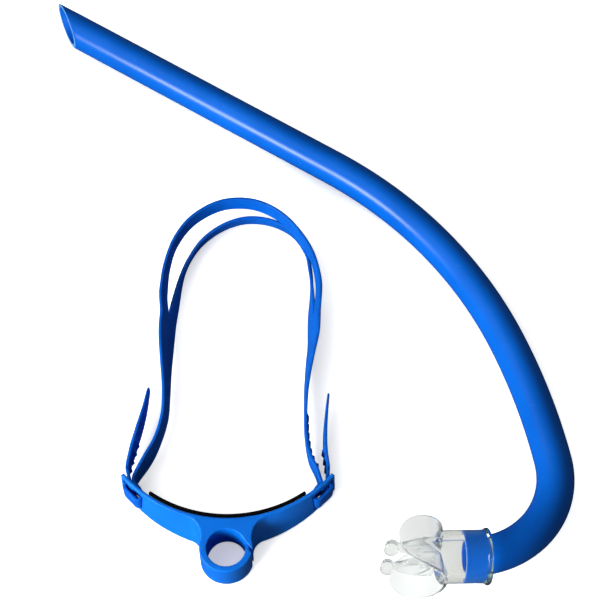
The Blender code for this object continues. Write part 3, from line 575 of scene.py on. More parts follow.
# ------------------------------------------------------------------ tube
def tube_path(step):
    """Centreline stations up to the straight run: x, y, heading, distance."""
    x, y = TUBE_MOUTH_END
    heading = math.radians(TUBE_HEADING)
    path = []
    for i in range(4):
        run = TUBE_STUB * i / 4
        path.append((x + run * math.cos(heading), y + run * math.sin(heading), heading, run))
    x += TUBE_STUB * math.cos(heading)
    y += TUBE_STUB * math.sin(heading)
    distance = TUBE_STUB
    for radius, degrees in TUBE_BENDS:
        turn = math.radians(degrees)
        centre_x, centre_y = x - radius * math.sin(heading), y + radius * math.cos(heading)
        count = max(4, round(radius * turn / step))
        for i in range(count):
            angle = heading + turn * i / count
            path.append((
                centre_x + radius * math.sin(angle),
                centre_y - radius * math.cos(angle),
                angle,
                distance + radius * turn * i / count,
            ))
        heading += turn
        distance += radius * turn
        x, y = centre_x + radius * math.sin(heading), centre_y - radius * math.cos(heading)
    path.append((x, y, heading, distance))
    return path


def tube_plane_matrix():
    """From the tube's own plane to the scene: tilted so that the station farthest
    downhill rests on the floor."""
    down_x, down_y = TILT_DOWNHILL
    lowest = max(tube_path(4.0), key=lambda station: station[0] * down_x + station[1] * down_y)
    return (
        Matrix.Translation(place(lowest[0], lowest[1], TUBE_OD / 2))
        @ Matrix.Rotation(math.radians(TILT), 4, Vector((-down_y, down_x, 0.0)))
        @ Matrix.Translation(Vector((-lowest[0] * MM, -lowest[1] * MM, 0.0)))
    )


TUBE_PLANE = tube_plane_matrix()
MOUTH_FRAME = (
    TUBE_PLANE
    @ Matrix.Translation(Vector((TUBE_MOUTH_END[0] * MM, TUBE_MOUTH_END[1] * MM, 0.0)))
    @ Matrix.Rotation(math.radians(TUBE_HEADING), 4, "Z")
)


def build_tube(tube_mat, rim_mat):
    """Outer skin from the mouth end to the bevelled open end, then the bore back."""
    sides, straight_rings, bore_rings = 128, 90, 40
    path = tube_path(2.0)
    outer, inner, edge = TUBE_OD / 2, TUBE_OD / 2 - TUBE_WALL, TUBE_EDGE
    bevel_slope, roll = BEVEL_RUN / TUBE_OD, math.radians(BEVEL_ROLL)

    def ring(station, radius, shift=lambda angle: 0.0):
        """Points of one ring, shifted along the tube, and its distance."""
        x, y, heading, distance = station
        left = Vector((-math.sin(heading), math.cos(heading), 0))
        ahead = Vector((math.cos(heading), math.sin(heading), 0))
        points = []
        for k in range(sides):
            angle = 2 * math.pi * k / sides
            point = Vector((x, y, 0)) + left * (radius * math.cos(angle))
            point += Vector((0, 0, radius * math.sin(angle)))
            point += ahead * shift(angle)
            points.append(point * MM)
        return points, distance

    def straight_ring(radius, share, back=0.0):
        """A ring on the straight run, slanting more and more towards the bevel."""
        x, y, heading, distance = path[-1]

        def shift(angle):
            slant = bevel_slope * radius * math.cos(angle - roll)
            return share * (TUBE_STRAIGHT - slant) - back

        return ring((x, y, heading, distance + TUBE_STRAIGHT * share), radius, shift)

    x, y, heading, _ = path[0]
    edge_station = (x + edge * math.cos(heading), y + edge * math.sin(heading), heading, edge)
    rings = [ring(path[0], outer - edge), ring(edge_station, outer)]
    rings += [ring(station, outer) for station in path[1:-1]]
    rings += [straight_ring(outer, i / straight_rings) for i in range(straight_rings)]
    open_end = len(rings)
    # radius, distance back from the cut
    rings += [straight_ring(radius, 1.0, back) for radius, back in (
        (outer, edge * 1.6),
        (outer - edge * 0.3, edge * 0.5),
        (outer - edge, 0.0),
        ((outer + inner) / 2, 0.0),
        (inner + edge, 0.0),
        (inner + edge * 0.3, edge * 0.5),
        (inner, edge * 1.6),
    )]
    rings += [straight_ring(inner, 1 - i / bore_rings) for i in range(1, bore_rings)]
    rings += [ring(station, inner) for station in path[:0:-2]]
    rings.append(ring(path[0], inner))

    cut_rings = range(open_end + 1, open_end + 5)
    verts, uvs, face_slots = [], [], []
    for i, (points, distance) in enumerate(rings):
        verts += [TUBE_PLANE @ point for point in points]
        uvs += [(distance * MM, k / sides * math.pi * TUBE_OD * MM) for k in range(sides)]
        face_slots += [1 if i in cut_rings else 0] * sides
    tube = new_object(
        "tube_body", verts, walls(len(rings), sides, closed=True), (tube_mat, rim_mat),
        smooth_angle=50, face_slots=face_slots, uvs=uvs,
    )
    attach(tube, "tube")
    stand_in(tube, "snorkel_tube")


# ------------------------------------------------------------------ mouthpiece
def mouth_socket():
    """The sleeve over the tube and the neck behind it, turned round the x axis."""
    sides = 160
    # x, radius
    profile = [
        (NECK_END - 1.6, AIRWAY_R),
        (NECK_END - 1.6, SLEEVE_R - 0.6),
        (NECK_END + 1.5, SLEEVE_R - 0.2),
        (NECK_END + 4.0, SLEEVE_R),
        (SLEEVE_END - BEAD_HALF - 1.6, SLEEVE_R),
        (SLEEVE_END - BEAD_HALF - 0.5, SLEEVE_R + 0.15),
    ]
    for i in range(13):
        angle = math.radians(-80 + 170 * i / 12)
        profile.append((
            SLEEVE_END + BEAD_HALF * math.sin(angle),
            BEAD_R - BEAD_HALF + BEAD_HALF * math.cos(angle),
        ))
    profile += [
        (SLEEVE_END + BEAD_HALF, 13.0),
        (SLEEVE_END + BEAD_HALF - 0.5, 12.0),
        (SLEEVE_END - 0.5, SOCKET_R),
        (SOCKET_FLOOR, SOCKET_R),
        (SOCKET_FLOOR, AIRWAY_R),
    ]
    verts = []
    for x, radius in profile:
        for k in range(sides):
            angle = 2 * math.pi * k / sides
            verts.append(Vector((x, radius * math.cos(angle), radius * math.sin(angle))) * MM)
    return new_object("mouth_shape", verts, walls(len(profile), sides, closed=True))


def lip_flange():
    """An oval plate bent round the teeth, long in z, thicker at its rim."""
    long_steps, short_steps = 72, 28
    verts, faces = [], []
    for side in (-1, 1):
        for i in range(long_steps + 1):
            along = -math.cos(math.pi * i / long_steps) * 0.998
            half_width = FLANGE_HALF_SHORT * (1 - abs(along) ** 3.2) ** (1 / 2.4)
            for j in range(short_steps + 1):
                across = -math.cos(math.pi * j / short_steps)
                rim = max(abs(along) ** 6, abs(across) ** 6)
                offset = FLANGE_THICK * (0.76 + 0.26 * rim) / 2 * side
                angle = along * FLANGE_HALF_LONG / FLANGE_CURVE_R
                radius = FLANGE_CURVE_R + offset
                # the long edges flare slightly, by up to 1 mm, towards the tube
                flare = abs(across) ** 3
                verts.append(Vector((
                    NECK_END - FLANGE_CURVE_R + (radius + flare) * math.cos(angle),
                    across * half_width,
                    radius * math.sin(angle),
                )) * MM)

    def at(side, i, j):
        return (side * (long_steps + 1) + i) * (short_steps + 1) + j

    for i in range(long_steps):
        for j in range(short_steps):
            faces.append([at(0, i, j), at(0, i, j + 1), at(0, i + 1, j + 1), at(0, i + 1, j)])
            faces.append([at(1, i, j), at(1, i + 1, j), at(1, i + 1, j + 1), at(1, i, j + 1)])
    last = short_steps
    for i in range(long_steps):
        faces.append([at(0, i, 0), at(0, i + 1, 0), at(1, i + 1, 0), at(1, i, 0)])
        faces.append([at(0, i + 1, last), at(0, i, last), at(1, i, last), at(1, i + 1, last)])
    last = long_steps
    for j in range(short_steps):
        faces.append([at(0, 0, j + 1), at(0, 0, j), at(1, 0, j), at(1, 0, j + 1)])
        faces.append([at(0, last, j), at(0, last, j + 1), at(1, last, j + 1), at(1, last, j)])
    return new_object("flange_shape", verts, faces)


def bite_tab(sign):
    """A plate that narrows to a rounded grip bead; sign is its side in z."""
    sides, plate_steps, bead_steps = 40, 24, 18
    root = NECK_END - 2.4
    tip = TAB_END + TAB_BEAD_R * 0.8
    stations = []  # x, half thickness in y, half width in z
    for i in range(plate_steps + 1):
        share = i / plate_steps
        narrowing = (TAB_PLATE_HALF - TAB_HALF_LONG * 0.86) * ease((share - 0.55) / 0.36)
        stations.append((
            root + (tip - root) * share,
            TAB_HALF_THICK - 0.2 + 1.1 * (1 - share) ** 3,
            TAB_PLATE_HALF - narrowing + 0.6 * (1 - share) ** 2,
        ))
    for i in range(1, bead_steps):
        angle = math.pi * (0.12 + 0.88 * i / bead_steps)
        stations.append((
            TAB_END + TAB_BEAD_R * math.cos(angle),
            max(TAB_BEAD_R * math.sin(angle), 0.35),
            TAB_HALF_LONG * (0.70 + 0.32 * math.sin(angle)),
        ))

    def squared(value):
        """Makes the section's circle squarer."""
        return math.copysign(abs(value) ** 0.7, value)

    verts = []
    for x, half_thick, half_width in stations:
        for k in range(sides):
            angle = 2 * math.pi * (k + 0.5) / sides
            verts.append(Vector((
                x,
                half_thick * squared(math.cos(angle)),
                sign * TAB_OFFSET + half_width * squared(math.sin(angle)),
            )) * MM)
    faces = walls(len(stations), sides) + caps(len(stations), sides)
    return new_object("tab_shape", verts, faces)


def airway_cut():
    """The airway through the flange, from an oval to the round bore."""
    sides = 96
    verts = []
    for x, half_y, half_z in ((-24.0, 7.4, 8.6), (-0.9, 8.95, 8.95)):
        for k in range(sides):
            angle = 2 * math.pi * k / sides
            verts.append(Vector((x, half_y * math.cos(angle), half_z * math.sin(angle))) * MM)
    return new_object("airway_shape", verts, caps(2, sides) + walls(2, sides))


def dimple_cut(centre, radius):
    mesh = bpy.data.meshes.new("dimple")
    bm = bmesh.new()
    bmesh.ops.create_uvsphere(bm, u_segments=24, v_segments=14, radius=radius * MM)
    bmesh.ops.translate(bm, verts=bm.verts, vec=Vector(centre) * MM)
    bm.to_mesh(mesh)
    bm.free()
    return add_object("dimple_shape", mesh)


def build_mouthpiece(material):
    mouthpiece = moulded(
        "mouthpiece_silicone", mouth_socket(), material,
        unions=[lip_flange(), bite_tab(1), bite_tab(-1)],
        cuts=[airway_cut()] + [dimple_cut(centre, radius) for centre, radius in DIMPLES],
        voxel=0.39, soften_passes=5,
    )
    mouthpiece.data.transform(MOUTH_FRAME)
    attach(mouthpiece, "mouthpiece_body")
    stand_in(mouthpiece, "mouthpiece")


# ------------------------------------------------------------------ bracket
def left_fillet(arm_radius, radius):
    """The arc that touches the arm's front and the ring on the left: its centre, and
    its angles where it leaves the arm and meets the ring."""
    distance = math.dist(ARC_CENTRE, RING_CENTRE)
    to_arc, to_ring = arm_radius + radius, RING_R + RING_FLARE + radius
    along = (to_arc * to_arc - to_ring * to_ring + distance * distance) / (2 * distance)
    across = math.sqrt(to_arc * to_arc - along * along)
    unit_x = (RING_CENTRE[0] - ARC_CENTRE[0]) / distance
    unit_y = (RING_CENTRE[1] - ARC_CENTRE[1]) / distance
    centre = min(
        (
            ARC_CENTRE[0] + unit_x * along + unit_y * across * side,
            ARC_CENTRE[1] + unit_y * along - unit_x * across * side,
        )
        for side in (1, -1)
    )
    start = math.atan2(ARC_CENTRE[1] - centre[1], ARC_CENTRE[0] - centre[0])
    end = math.atan2(RING_CENTRE[1] - centre[1], RING_CENTRE[0] - centre[0])
    return centre, start, end


def foot_radius(degrees):
    """Front radius of the arm at the floor."""
    return ARC_REAR_R + ARM_FOOT_TIP_THICK + ARM_FOOT_GAIN * (ARC_HALF_ANGLE - abs(degrees))


def left_front(top):
    """Front outline from the left tip to the front of the ring."""
    arm_steps, fillet_steps, ring_steps = 50, 24, 30
    arm_radius = ARC_REAR_R + ARM_TOP_THICK if top else foot_radius(ARM_FOOT_ROOT_ANGLE)
    radius = FILLET_TOP_R if top else FILLET_FOOT_R
    centre, start, end = left_fillet(arm_radius, radius)
    start_x = centre[0] + radius * math.cos(start)
    start_y = centre[1] + radius * math.sin(start)
    root = math.degrees(math.atan2(ARC_CENTRE[0] - start_x, ARC_CENTRE[1] - start_y))
    outline = []
    for i in range(arm_steps):
        degrees = ARC_HALF_ANGLE + (root - ARC_HALF_ANGLE) * i / arm_steps
        front = arm_radius
        if not top:
            # eased onto the fillet's start near the root
            share = (ARC_HALF_ANGLE - degrees) / (ARC_HALF_ANGLE - root)
            front = foot_radius(degrees) + (arm_radius - foot_radius(root)) * share**6
        outline.append(arc_point(front, -degrees))
    turn = (end - start + math.pi) % (2 * math.pi) - math.pi
    for i in range(fillet_steps):
        angle = start + turn * i / fillet_steps
        outline.append((
            centre[0] + radius * math.cos(angle),
            centre[1] + radius * math.sin(angle),
        ))
    first = math.degrees(end) + 180.0
    for i in range(ring_steps):
        angle = math.radians(first + (270.0 - first) * i / ring_steps)
        ring_radius = RING_R + RING_FLARE * (1 - ease(i / ring_steps))
        outline.append((
            RING_CENTRE[0] + ring_radius * math.cos(angle),
            RING_CENTRE[1] + ring_radius * math.sin(angle),
        ))
    outline.append((RING_CENTRE[0], RING_CENTRE[1] - RING_R))
    return outline


def bracket_outline(top):
    """The whole outline, anticlockwise from the left tip."""
    rear_steps = 90
    left = left_front(top)
    right = [(2 * RING_CENTRE[0] - x, y) for x, y in left[:-1]][::-1]
    # mirrored about the ring, then moved beyond it to be symmetric about the arc
    shift = 2 * ARC_CENTRE[0] - 2 * RING_CENTRE[0]
    right = [
        (x + shift * min(1.0, max(0.0, (x - RING_CENTRE[0] - RING_R) / 12.0)), y)
        for x, y in right
    ]
    rear = [
        arc_point(ARC_REAR_R, ARC_HALF_ANGLE - 2 * ARC_HALF_ANGLE * i / rear_steps)
        for i in range(rear_steps + 1)
    ]
    return left + right + rear


def inset(points, distance):
    """An anticlockwise outline moved inwards."""
    moved = []
    for i, here in enumerate(points):
        before, after = points[i - 1], points[(i + 1) % len(points)]
        edge_in = Vector((here[0] - before[0], here[1] - before[1])).normalized()
        edge_out = Vector((after[0] - here[0], after[1] - here[1])).normalized()
        normal_in = Vector((-edge_in.y, edge_in.x))
        normal_out = Vector((-edge_out.y, edge_out.x))
        mitre = (normal_in + normal_out).normalized()
        reach = distance / max(0.5, mitre.dot(normal_in))
        moved.append((here[0] + mitre.x * reach, here[1] + mitre.y * reach))
    return moved


def bracket_solid():
    """The outline lofted from foot to top, with rounded lower and upper edges."""
    top, foot = bracket_outline(True), bracket_outline(False)
    edge = BRACKET_EDGE_R
    quarter = [math.radians(90 * i / 3) for i in range(4)]
    levels = [(inset(foot, edge * (1 - math.sin(a))), edge * (1 - math.cos(a))) for a in quarter]
    for i in range(1, 6):
        share = i / 6
        outline = [
            (low[0] + (high[0] - low[0]) * share, low[1] + (high[1] - low[1]) * share)
            for low, high in zip(foot, top)
        ]
        levels.append((outline, edge + (BRACKET_H - 2 * edge) * share))
    levels += [
        (inset(top, edge * (1 - math.cos(a))), BRACKET_H - edge * (1 - math.sin(a)))
        for a in quarter
    ]
    verts = [place(x, y, z) for outline, z in levels for x, y in outline]
    faces = walls(len(levels), len(top)) + caps(len(levels), len(top))
    return new_object("bracket_shape", verts, faces)


def prism(name, points, low, high):
    verts = [place(x, y, z) for z in (low, high) for x, y in points]
    return new_object(name, verts, caps(2, len(points)) + walls(2, len(points)))


def bore_cut():
    """The hole through the ring, slightly flared at both ends."""
    sides = 120
    # height, extra radius
    levels = (
        (-3.0, 0.6), (0.0, 0.2), (0.5, 0.0),
        (BRACKET_H - 0.5, 0.0), (BRACKET_H, 0.2), (BRACKET_H + 3.0, 0.6),
    )
    verts = []
    for z, extra in levels:
        for k in range(sides):
            point = ring_point(RING_BORE_R + extra, 360.0 * k / sides)
            verts.append(place(point.x, point.y, z))
    return new_object("bore_shape", verts, walls(len(levels), sides) + caps(len(levels), sides))


def slit_cut():
    inner, outer = ring_point(*SLIT_INNER), ring_point(*SLIT_OUTER)
    along = (outer - inner).normalized()
    across = Vector((-along.y, along.x)) * (SLIT_WIDTH / 2)
    start, end = inner - along * 1.5, outer + along * 3
    corners = [start - across, end - across, end + across, start + across]
    return prism("slit_shape", corners, -4, BRACKET_H + 4)


def window_cuts():
    """Two windows at each arm tip, and the recess in front of the bar between them."""
    steps = 8
    inner_r, outer_r = WINDOW_RADII
    cuts = []
    for sign in (-1, 1):
        for first, last, radius in (
            (WINDOW_OUTER, BAR_OUTER, inner_r),
            (BAR_INNER, WINDOW_INNER, inner_r),
            (BAR_OUTER + BAR_CUT_OVERLAP, BAR_INNER - BAR_CUT_OVERLAP, BAR_FRONT_R),
        ):
            start, end = sign * first, sign * last
            corners = [
                arc_point(outer_r, start + (end - start) * i / steps) for i in range(steps + 1)
            ]
            corners += [
                arc_point(radius, end + (start - end) * i / steps) for i in range(steps + 1)
            ]
            cuts.append(prism("window_shape", corners, *WINDOW_Z))
    return cuts


def split_jaw(bracket):
    """Moves the front of the ring, which springs open, into an object of its own."""
    seam = place(0.0, SEAM_Y).y
    middle = place(RING_CENTRE[0], 0.0).x
    ring_left = place(RING_CENTRE[0] - 20.0, 0.0).x
    bm = bmesh.new()
    bm.from_mesh(bracket.data)

    # a clean edge along the seam, in the left wall of the ring only
    geom = []
    for face in bm.faces:
        centre = face.calc_center_median()
        if ring_left < centre.x < middle and abs(centre.y - seam) < 4 * MM:
            geom.append(face)
    geom += list({e for f in geom for e in f.edges}) + list({v for f in geom for v in f.verts})
    bmesh.ops.bisect_plane(
        bm, geom=geom, plane_co=(0, seam, 0), plane_no=(0, 1, 0), dist=1e-7
    )

    # on the left the jaw ends at the seam, on the right at the slit
    slit_start = place(*ring_point(*SLIT_INNER))
    slit_line = (place(*ring_point(*SLIT_OUTER)) - slit_start).to_2d()
    jaw_faces = []
    for face in bm.faces:
        centre = face.calc_center_median()
        if centre.x < middle:
            if centre.y < seam and centre.x > ring_left:
                jaw_faces.append(face)
            continue
        offset = (centre - slit_start).to_2d()
        in_front = slit_line.x * offset.y - slit_line.y * offset.x < 0
        if in_front and centre.y < slit_start.y + 4 * MM and centre.x < middle + 20 * MM:
            jaw_faces.append(face)

    jaw_bm = bm.copy()
    bm.faces.index_update()
    jaw_bm.faces.index_update()
    in_jaw = {face.index for face in jaw_faces}
    others = [face for face in jaw_bm.faces if face.index not in in_jaw]
    bmesh.ops.delete(bm, geom=jaw_faces, context="FACES")
    bmesh.ops.delete(jaw_bm, geom=others, context="FACES")
    for part in (bm, jaw_bm):
        cut_edges = [edge for edge in part.edges if edge.is_boundary]
        bmesh.ops.holes_fill(part, edges=cut_edges, sides=0)
        for edge in cut_edges:
            edge.smooth = False
        bmesh.ops.recalc_face_normals(part, faces=part.faces)
    bm.to_mesh(bracket.data)
    jaw_mesh = bracket.data.copy()
    jaw_mesh.name = "ring_jaw_body"
    jaw_bm.to_mesh(jaw_mesh)
    bm.free()
    jaw_bm.free()
    return add_object("ring_jaw_body", jaw_mesh)


def build_bracket(material):
    bracket = moulded(
        "bracket_body", bracket_solid(), material,
        cuts=[bore_cut(), slit_cut(), *window_cuts()],
        voxel=0.34, soften_passes=4,
    )
    jaw = split_jaw(bracket)
    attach(bracket, "bracket")
    stand_in(bracket, "head_bracket")
    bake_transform(jaw)
    stand_in(jaw, "ring_jaw")


# ------------------------------------------------------------------ foam pad
def bent_slab(name, radii, half_angle, heights, edge, steps, material, relief=0.0):
    """A slab bent round the arc centre with rounded edges; relief is the height of
    the uneven rear face."""
    inner, outer = radii
    low, high = heights
    corner_steps, face_steps, end_rings = 4, 14, 4
    flat = high - low - 2 * edge
    profile = []  # radius, height
    for centre_r, centre_z, start in (
        (outer - edge, low + edge, -90),
        (outer - edge, high - edge, 0),
        (inner + edge, high - edge, 90),
        (inner + edge, low + edge, 180),
    ):
        for i in range(corner_steps + 1):
            angle = math.radians(start + 90 * i / corner_steps)
            profile.append((
                centre_r + edge * math.cos(angle),
                centre_z + edge * math.sin(angle),
            ))
        for i in range(1, face_steps):
            if start == -90:
                profile.append((outer, low + edge + flat * i / face_steps))
            if start == 90:
                profile.append((inner, high - edge - flat * i / face_steps))
    middle_z, middle_r = (low + high) / 2, (inner + outer) / 2

    def drawn_in(value, middle, amount):
        offset = value - middle
        return middle + math.copysign(max(0.0, abs(offset) - amount), offset)

    verts = []
    for i in range(-end_rings, steps + 1 + end_rings):
        # beyond either end the section closes in a quarter circle
        closing = math.radians(90 * (max(-i, i - steps, 0) / end_rings))
        amount = edge * (1 - math.cos(closing))
        degrees = -half_angle + 2 * half_angle * min(max(i, 0), steps) / steps
        degrees += math.copysign(math.degrees(edge * math.sin(closing) / middle_r), i)
        for profile_r, profile_z in profile:
            radius = drawn_in(profile_r, middle_r, amount)
            z = drawn_in(profile_z, middle_z, amount)
            if radius < middle_r:
                radius += relief * (
                    math.sin(degrees * 9.1 + z * 2.7) * math.sin(z * 3.9 - degrees * 5.3)
                    + 0.6 * math.sin(degrees * 23.0 + z * 7.1)
                )
            verts.append(place(*arc_point(radius, degrees), z))
    rings, sides = steps + 1 + 2 * end_rings, len(profile)
    faces = walls(rings, sides) + caps(rings, sides)
    return new_object(name, verts, faces, (material,), smooth_angle=60)


def build_pad(foam, film):
    pad = bent_slab(
        "foam_pad", FOAM_RADII, FOAM_HALF_ANGLE - 0.25, FOAM_Z,
        edge=0.45, steps=260, material=foam, relief=0.035,
    )
    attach(pad, "bracket")
    stand_in(pad, "forehead_foam_pad")
    sheet = bent_slab(
        "adhesive_sheet", FILM_RADII, FOAM_HALF_ANGLE - 0.7,
        (FOAM_Z[0] + FILM_MARGIN, FOAM_Z[1] - FILM_MARGIN),
        edge=0.12, steps=90, material=film,
    )
    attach(sheet, "bracket")
    stand_in(sheet, "pad_adhesive_film")


# ------------------------------------------------------------------ strap lines
def between(first, second, first_knot, second_knot, knot):
    width = second_knot - first_knot
    return first * ((second_knot - knot) / width) + second * ((knot - first_knot) / width)


def catmull(points):
    """A centripetal Catmull-Rom curve through the points."""
    points = [Vector(point) for point in points]
    points = [2 * points[0] - points[1]] + points + [2 * points[-1] - points[-2]]
    curve = []
    for i in range(1, len(points) - 2):
        p = points[i - 1:i + 3]
        knots = [0.0]
        for before, after in zip(p, p[1:]):
            knots.append(knots[-1] + math.sqrt((after - before).length))
        for k in range(CURVE_STEPS):
            knot = knots[1] + (knots[2] - knots[1]) * k / CURVE_STEPS
            legs = [between(p[j], p[j + 1], knots[j], knots[j + 1], knot) for j in range(3)]
            early = between(legs[0], legs[1], knots[0], knots[2], knot)
            late = between(legs[1], legs[2], knots[1], knots[3], knot)
            curve.append(between(early, late, knots[1], knots[2], knot))
    curve.append(points[-2])
    return curve


def distances(points):
    """Distance of each point along the line."""
    steps = np.hypot(*np.diff(points, axis=0).T)
    return np.concatenate([[0.0], np.cumsum(steps)])


def smooth_line(points):
    """The curve through the points, sampled evenly."""
    curve = np.array([(point[0], point[1]) for point in catmull(points)], float)
    along = distances(curve)
    count = max(2, int(round(along[-1] / STRAP_STEP)) + 1)
    samples = np.linspace(0, along[-1], count)
    return np.stack([np.interp(samples, along, curve[:, k]) for k in (0, 1)], 1)


def normals(points, to_left):
    """Unit normals to the left or to the right of travel."""
    tangent = np.gradient(points, axis=0)
    tangent /= np.linalg.norm(tangent, axis=1)[:, None]
    left = np.stack([-tangent[:, 1], tangent[:, 0]], 1)
    return left if to_left else -left


def softened(values, passes):
    values = np.array(values, float)
    for _ in range(passes):
        values[1:-1] = (values[:-2] + 2 * values[1:-1] + values[2:]) / 4
    return values


def eased_split(line):
    """Takes the kink out of a centreline where the bands divide."""
    weight = np.array([ease((16.0 - abs(point[1] - SPLIT_Y)) / 8.0) for point in line])
    weight = weight[1:-1, None]
    for _ in range(160):
        line[1:-1] += weight * ((line[:-2] + line[2:]) / 2 - line[1:-1]) / 2
    return line


def side_lean(y, side):
    root = ROOT_LEAN[side]
    far, start, length = (0.17, -75.0, 50.0) if side == "left" else (0.0, -95.0, 75.0)
    lean = far + (root - far) * fade(y, start, length)
    return lean * fade(y, -128.0, 20.0)


def side_heights(y):
    """Bottom and top of a side band, widening towards the split."""
    share = fade(y, -100.0, 75.0)
    return [narrow + (wide - narrow) * share for narrow, wide in zip(STRAP_Z, STRAP_ROOT_Z)]


def band_lean(share, middle_lean):
    """Lean of a rear band, at a share of its length from the left."""
    if share < 0.5:
        return ROOT_LEAN["left"] + (middle_lean - ROOT_LEAN["left"]) * ease(share / 0.25)
    return ROOT_LEAN["right"] + (middle_lean - ROOT_LEAN["right"]) * ease((1 - share) / 0.2)


def tooth(along, first, last, height):
    """Rounded bumps with flats between them."""
    if along < first or along > last:
        return 0.0
    share = ((along - first) % TOOTH_PITCH) / TOOTH_PITCH
    if share >= TOOTH_SHARE:
        return 0.0
    return height * math.sin(math.pi * share / TOOTH_SHARE) ** 1.3


def ribbon_profile(half, low, high, rise):
    """One section, as (offset outwards, height); rise is the tooth on the outer face."""
    outer_steps, inner_steps, corner_steps = 12, 4, 4
    edge = min(0.6, half * 0.75, (high - low) * 0.3)
    flat = high - low - 2 * edge

    def corner(side, z, start, steps):
        angles = [math.radians(start + 90 * i / corner_steps) for i in steps]
        centre = side * (half - edge)
        return [(centre + edge * math.cos(a), z + edge * math.sin(a)) for a in angles]

    profile = []
    for i in range(outer_steps + 1):
        z = low + edge + flat * i / outer_steps
        above = ease((z - low - TOOTH_MARGIN + TOOTH_FADE / 2) / TOOTH_FADE)
        below = ease((high - z - TOOTH_MARGIN + TOOTH_FADE / 2) / TOOTH_FADE)
        profile.append((half + rise * above * below, z))
    profile += corner(1, high - edge, 0, range(1, corner_steps + 1))
    profile += corner(-1, high - edge, 90, range(corner_steps))
    profile += [
        (-half, high - edge - flat * i / inner_steps) for i in range(inner_steps + 1)
    ]
    profile += corner(-1, low + edge, 180, range(1, corner_steps + 1))
    profile += corner(1, low + edge, 270, range(corner_steps))
    return profile


def ribbon(name, line, outward, half, low, high, lean, teeth, material):
    """A strap with rounded edges; line is its centreline at REFERENCE_Z."""
    verts = []
    for i, (x, y) in enumerate(line):
        profile = ribbon_profile(half[i], low[i], high[i], teeth[i])
        for offset, z in profile:
            offset += lean[i] * (z - REFERENCE_Z)
            verts.append(place(x + outward[i][0] * offset, y + outward[i][1] * offset, z))
    rings, sides = len(line), len(profile)
    faces = walls(rings, sides) + caps(rings, sides)
    return new_object(name, verts, faces, (material,), smooth_angle=60)


# ------------------------------------------------------------------ strap pieces
Station = namedtuple("Station", "point low high lean tooth")


def end_samples(side):
    """Side band, fold and tail as one line, with the first and last index of the fold."""
    fold = [arc_point(radius, -degrees) for radius, degrees in [FOLD_ENTRY[side], *FOLD]]
    if side == "right":
        fold = [(2 * ARC_CENTRE[0] - x, y) for x, y in fold]
    line = smooth_line(SIDES[side] + fold + TAILS[side])
    radius = np.hypot(line[:, 0] - ARC_CENTRE[0], line[:, 1] - ARC_CENTRE[1])
    in_fold = np.where((line[:, 1] < -110) & (radius > 74.0))[0]
    return line, in_fold[0], in_fold[-1]


def side_stations(side):
    """Stations of a side band and its fold, from the split."""
    line, fold_start, fold_end = end_samples(side)
    along = distances(line)
    outward = normals(line, to_left=side == "right")
    last_tooth = along[fold_start] - 3.4
    first_tooth = along[fold_start] - 7.6 * TOOTH_PITCH
    stations = []
    for i in range(fold_end + 1):
        y = line[i, 1]
        (low, high), lean = STRAP_Z, 0.0
        if i < fold_start:
            low, high = side_heights(y)
            lean = side_lean(y, side)
        # stands a little higher and lower behind the bracket than round its bar
        near_bracket = fade(-y, 100.0, 20.0)
        past_fold = along[i] - along[fold_start]
        near = near_bracket * (1 - fade(past_fold, 11.0, 4.0))
        behind = near_bracket * (1 - fade(past_fold, 6.5, 3.5))
        high = high + 1.9 * near
        low = low - 0.6 * near - 1.2 * behind
        point = line[i] + outward[i] * lean * (REFERENCE_Z - (low + high) / 2)
        rise = tooth(along[i], first_tooth, last_tooth, SIDE_TOOTH_H[side])
        stations.append(Station(point, low, high, lean, rise))
    return stations


def lower_stations():
    line = smooth_line(LOWER_BAND)
    along = distances(line)
    outward = normals(line, to_left=True)
    lift = REFERENCE_Z - sum(BAND_LOWER_Z) / 2
    stations = []
    for i in range(len(line)):
        lean = band_lean(along[i] / along[-1], LOWER_LEAN)
        stations.append(Station(line[i] + outward[i] * lean * lift, *BAND_LOWER_Z, lean, 0.0))
    return stations


def build_main_band(material):
    """One long piece: left fold, left side, lower rear band, right side, right fold.
    Returns the stations of the two sides."""
    left, right = side_stations("left"), side_stations("right")
    middle = lower_stations()
    # pull the side bands onto the ends of the lower band
    for side, end in ((left, middle[0]), (right, middle[-1])):
        gap = end.point - side[0].point
        split_y = side[0].point[1]
        for i, station in enumerate(side):
            share = ease(1 - (split_y - station.point[1]) / JOIN_LENGTH)
            side[i] = station._replace(point=station.point + gap * share)
    stations = left[::-1] + middle[1:-1] + right
    line = eased_split(softened([station.point for station in stations], 6))
    band = ribbon(
        "strap_main_band", line, normals(line, to_left=True),
        half=np.full(len(line), STRAP_THICK / 2),
        low=softened([station.low for station in stations], 10),
        high=softened([station.high for station in stations], 2),
        lean=softened([station.lean for station in stations], 20),
        teeth=[station.tooth for station in stations],
        material=material,
    )
    start, end = place(ARC_CENTRE[0], LOOP_START_Y), place(ARC_CENTRE[0], LOOP_END_Y)
    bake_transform(band)
    stand_in(band, "strap_rear_loop", "strap_end_left", "strap_end_right")
    return left, right


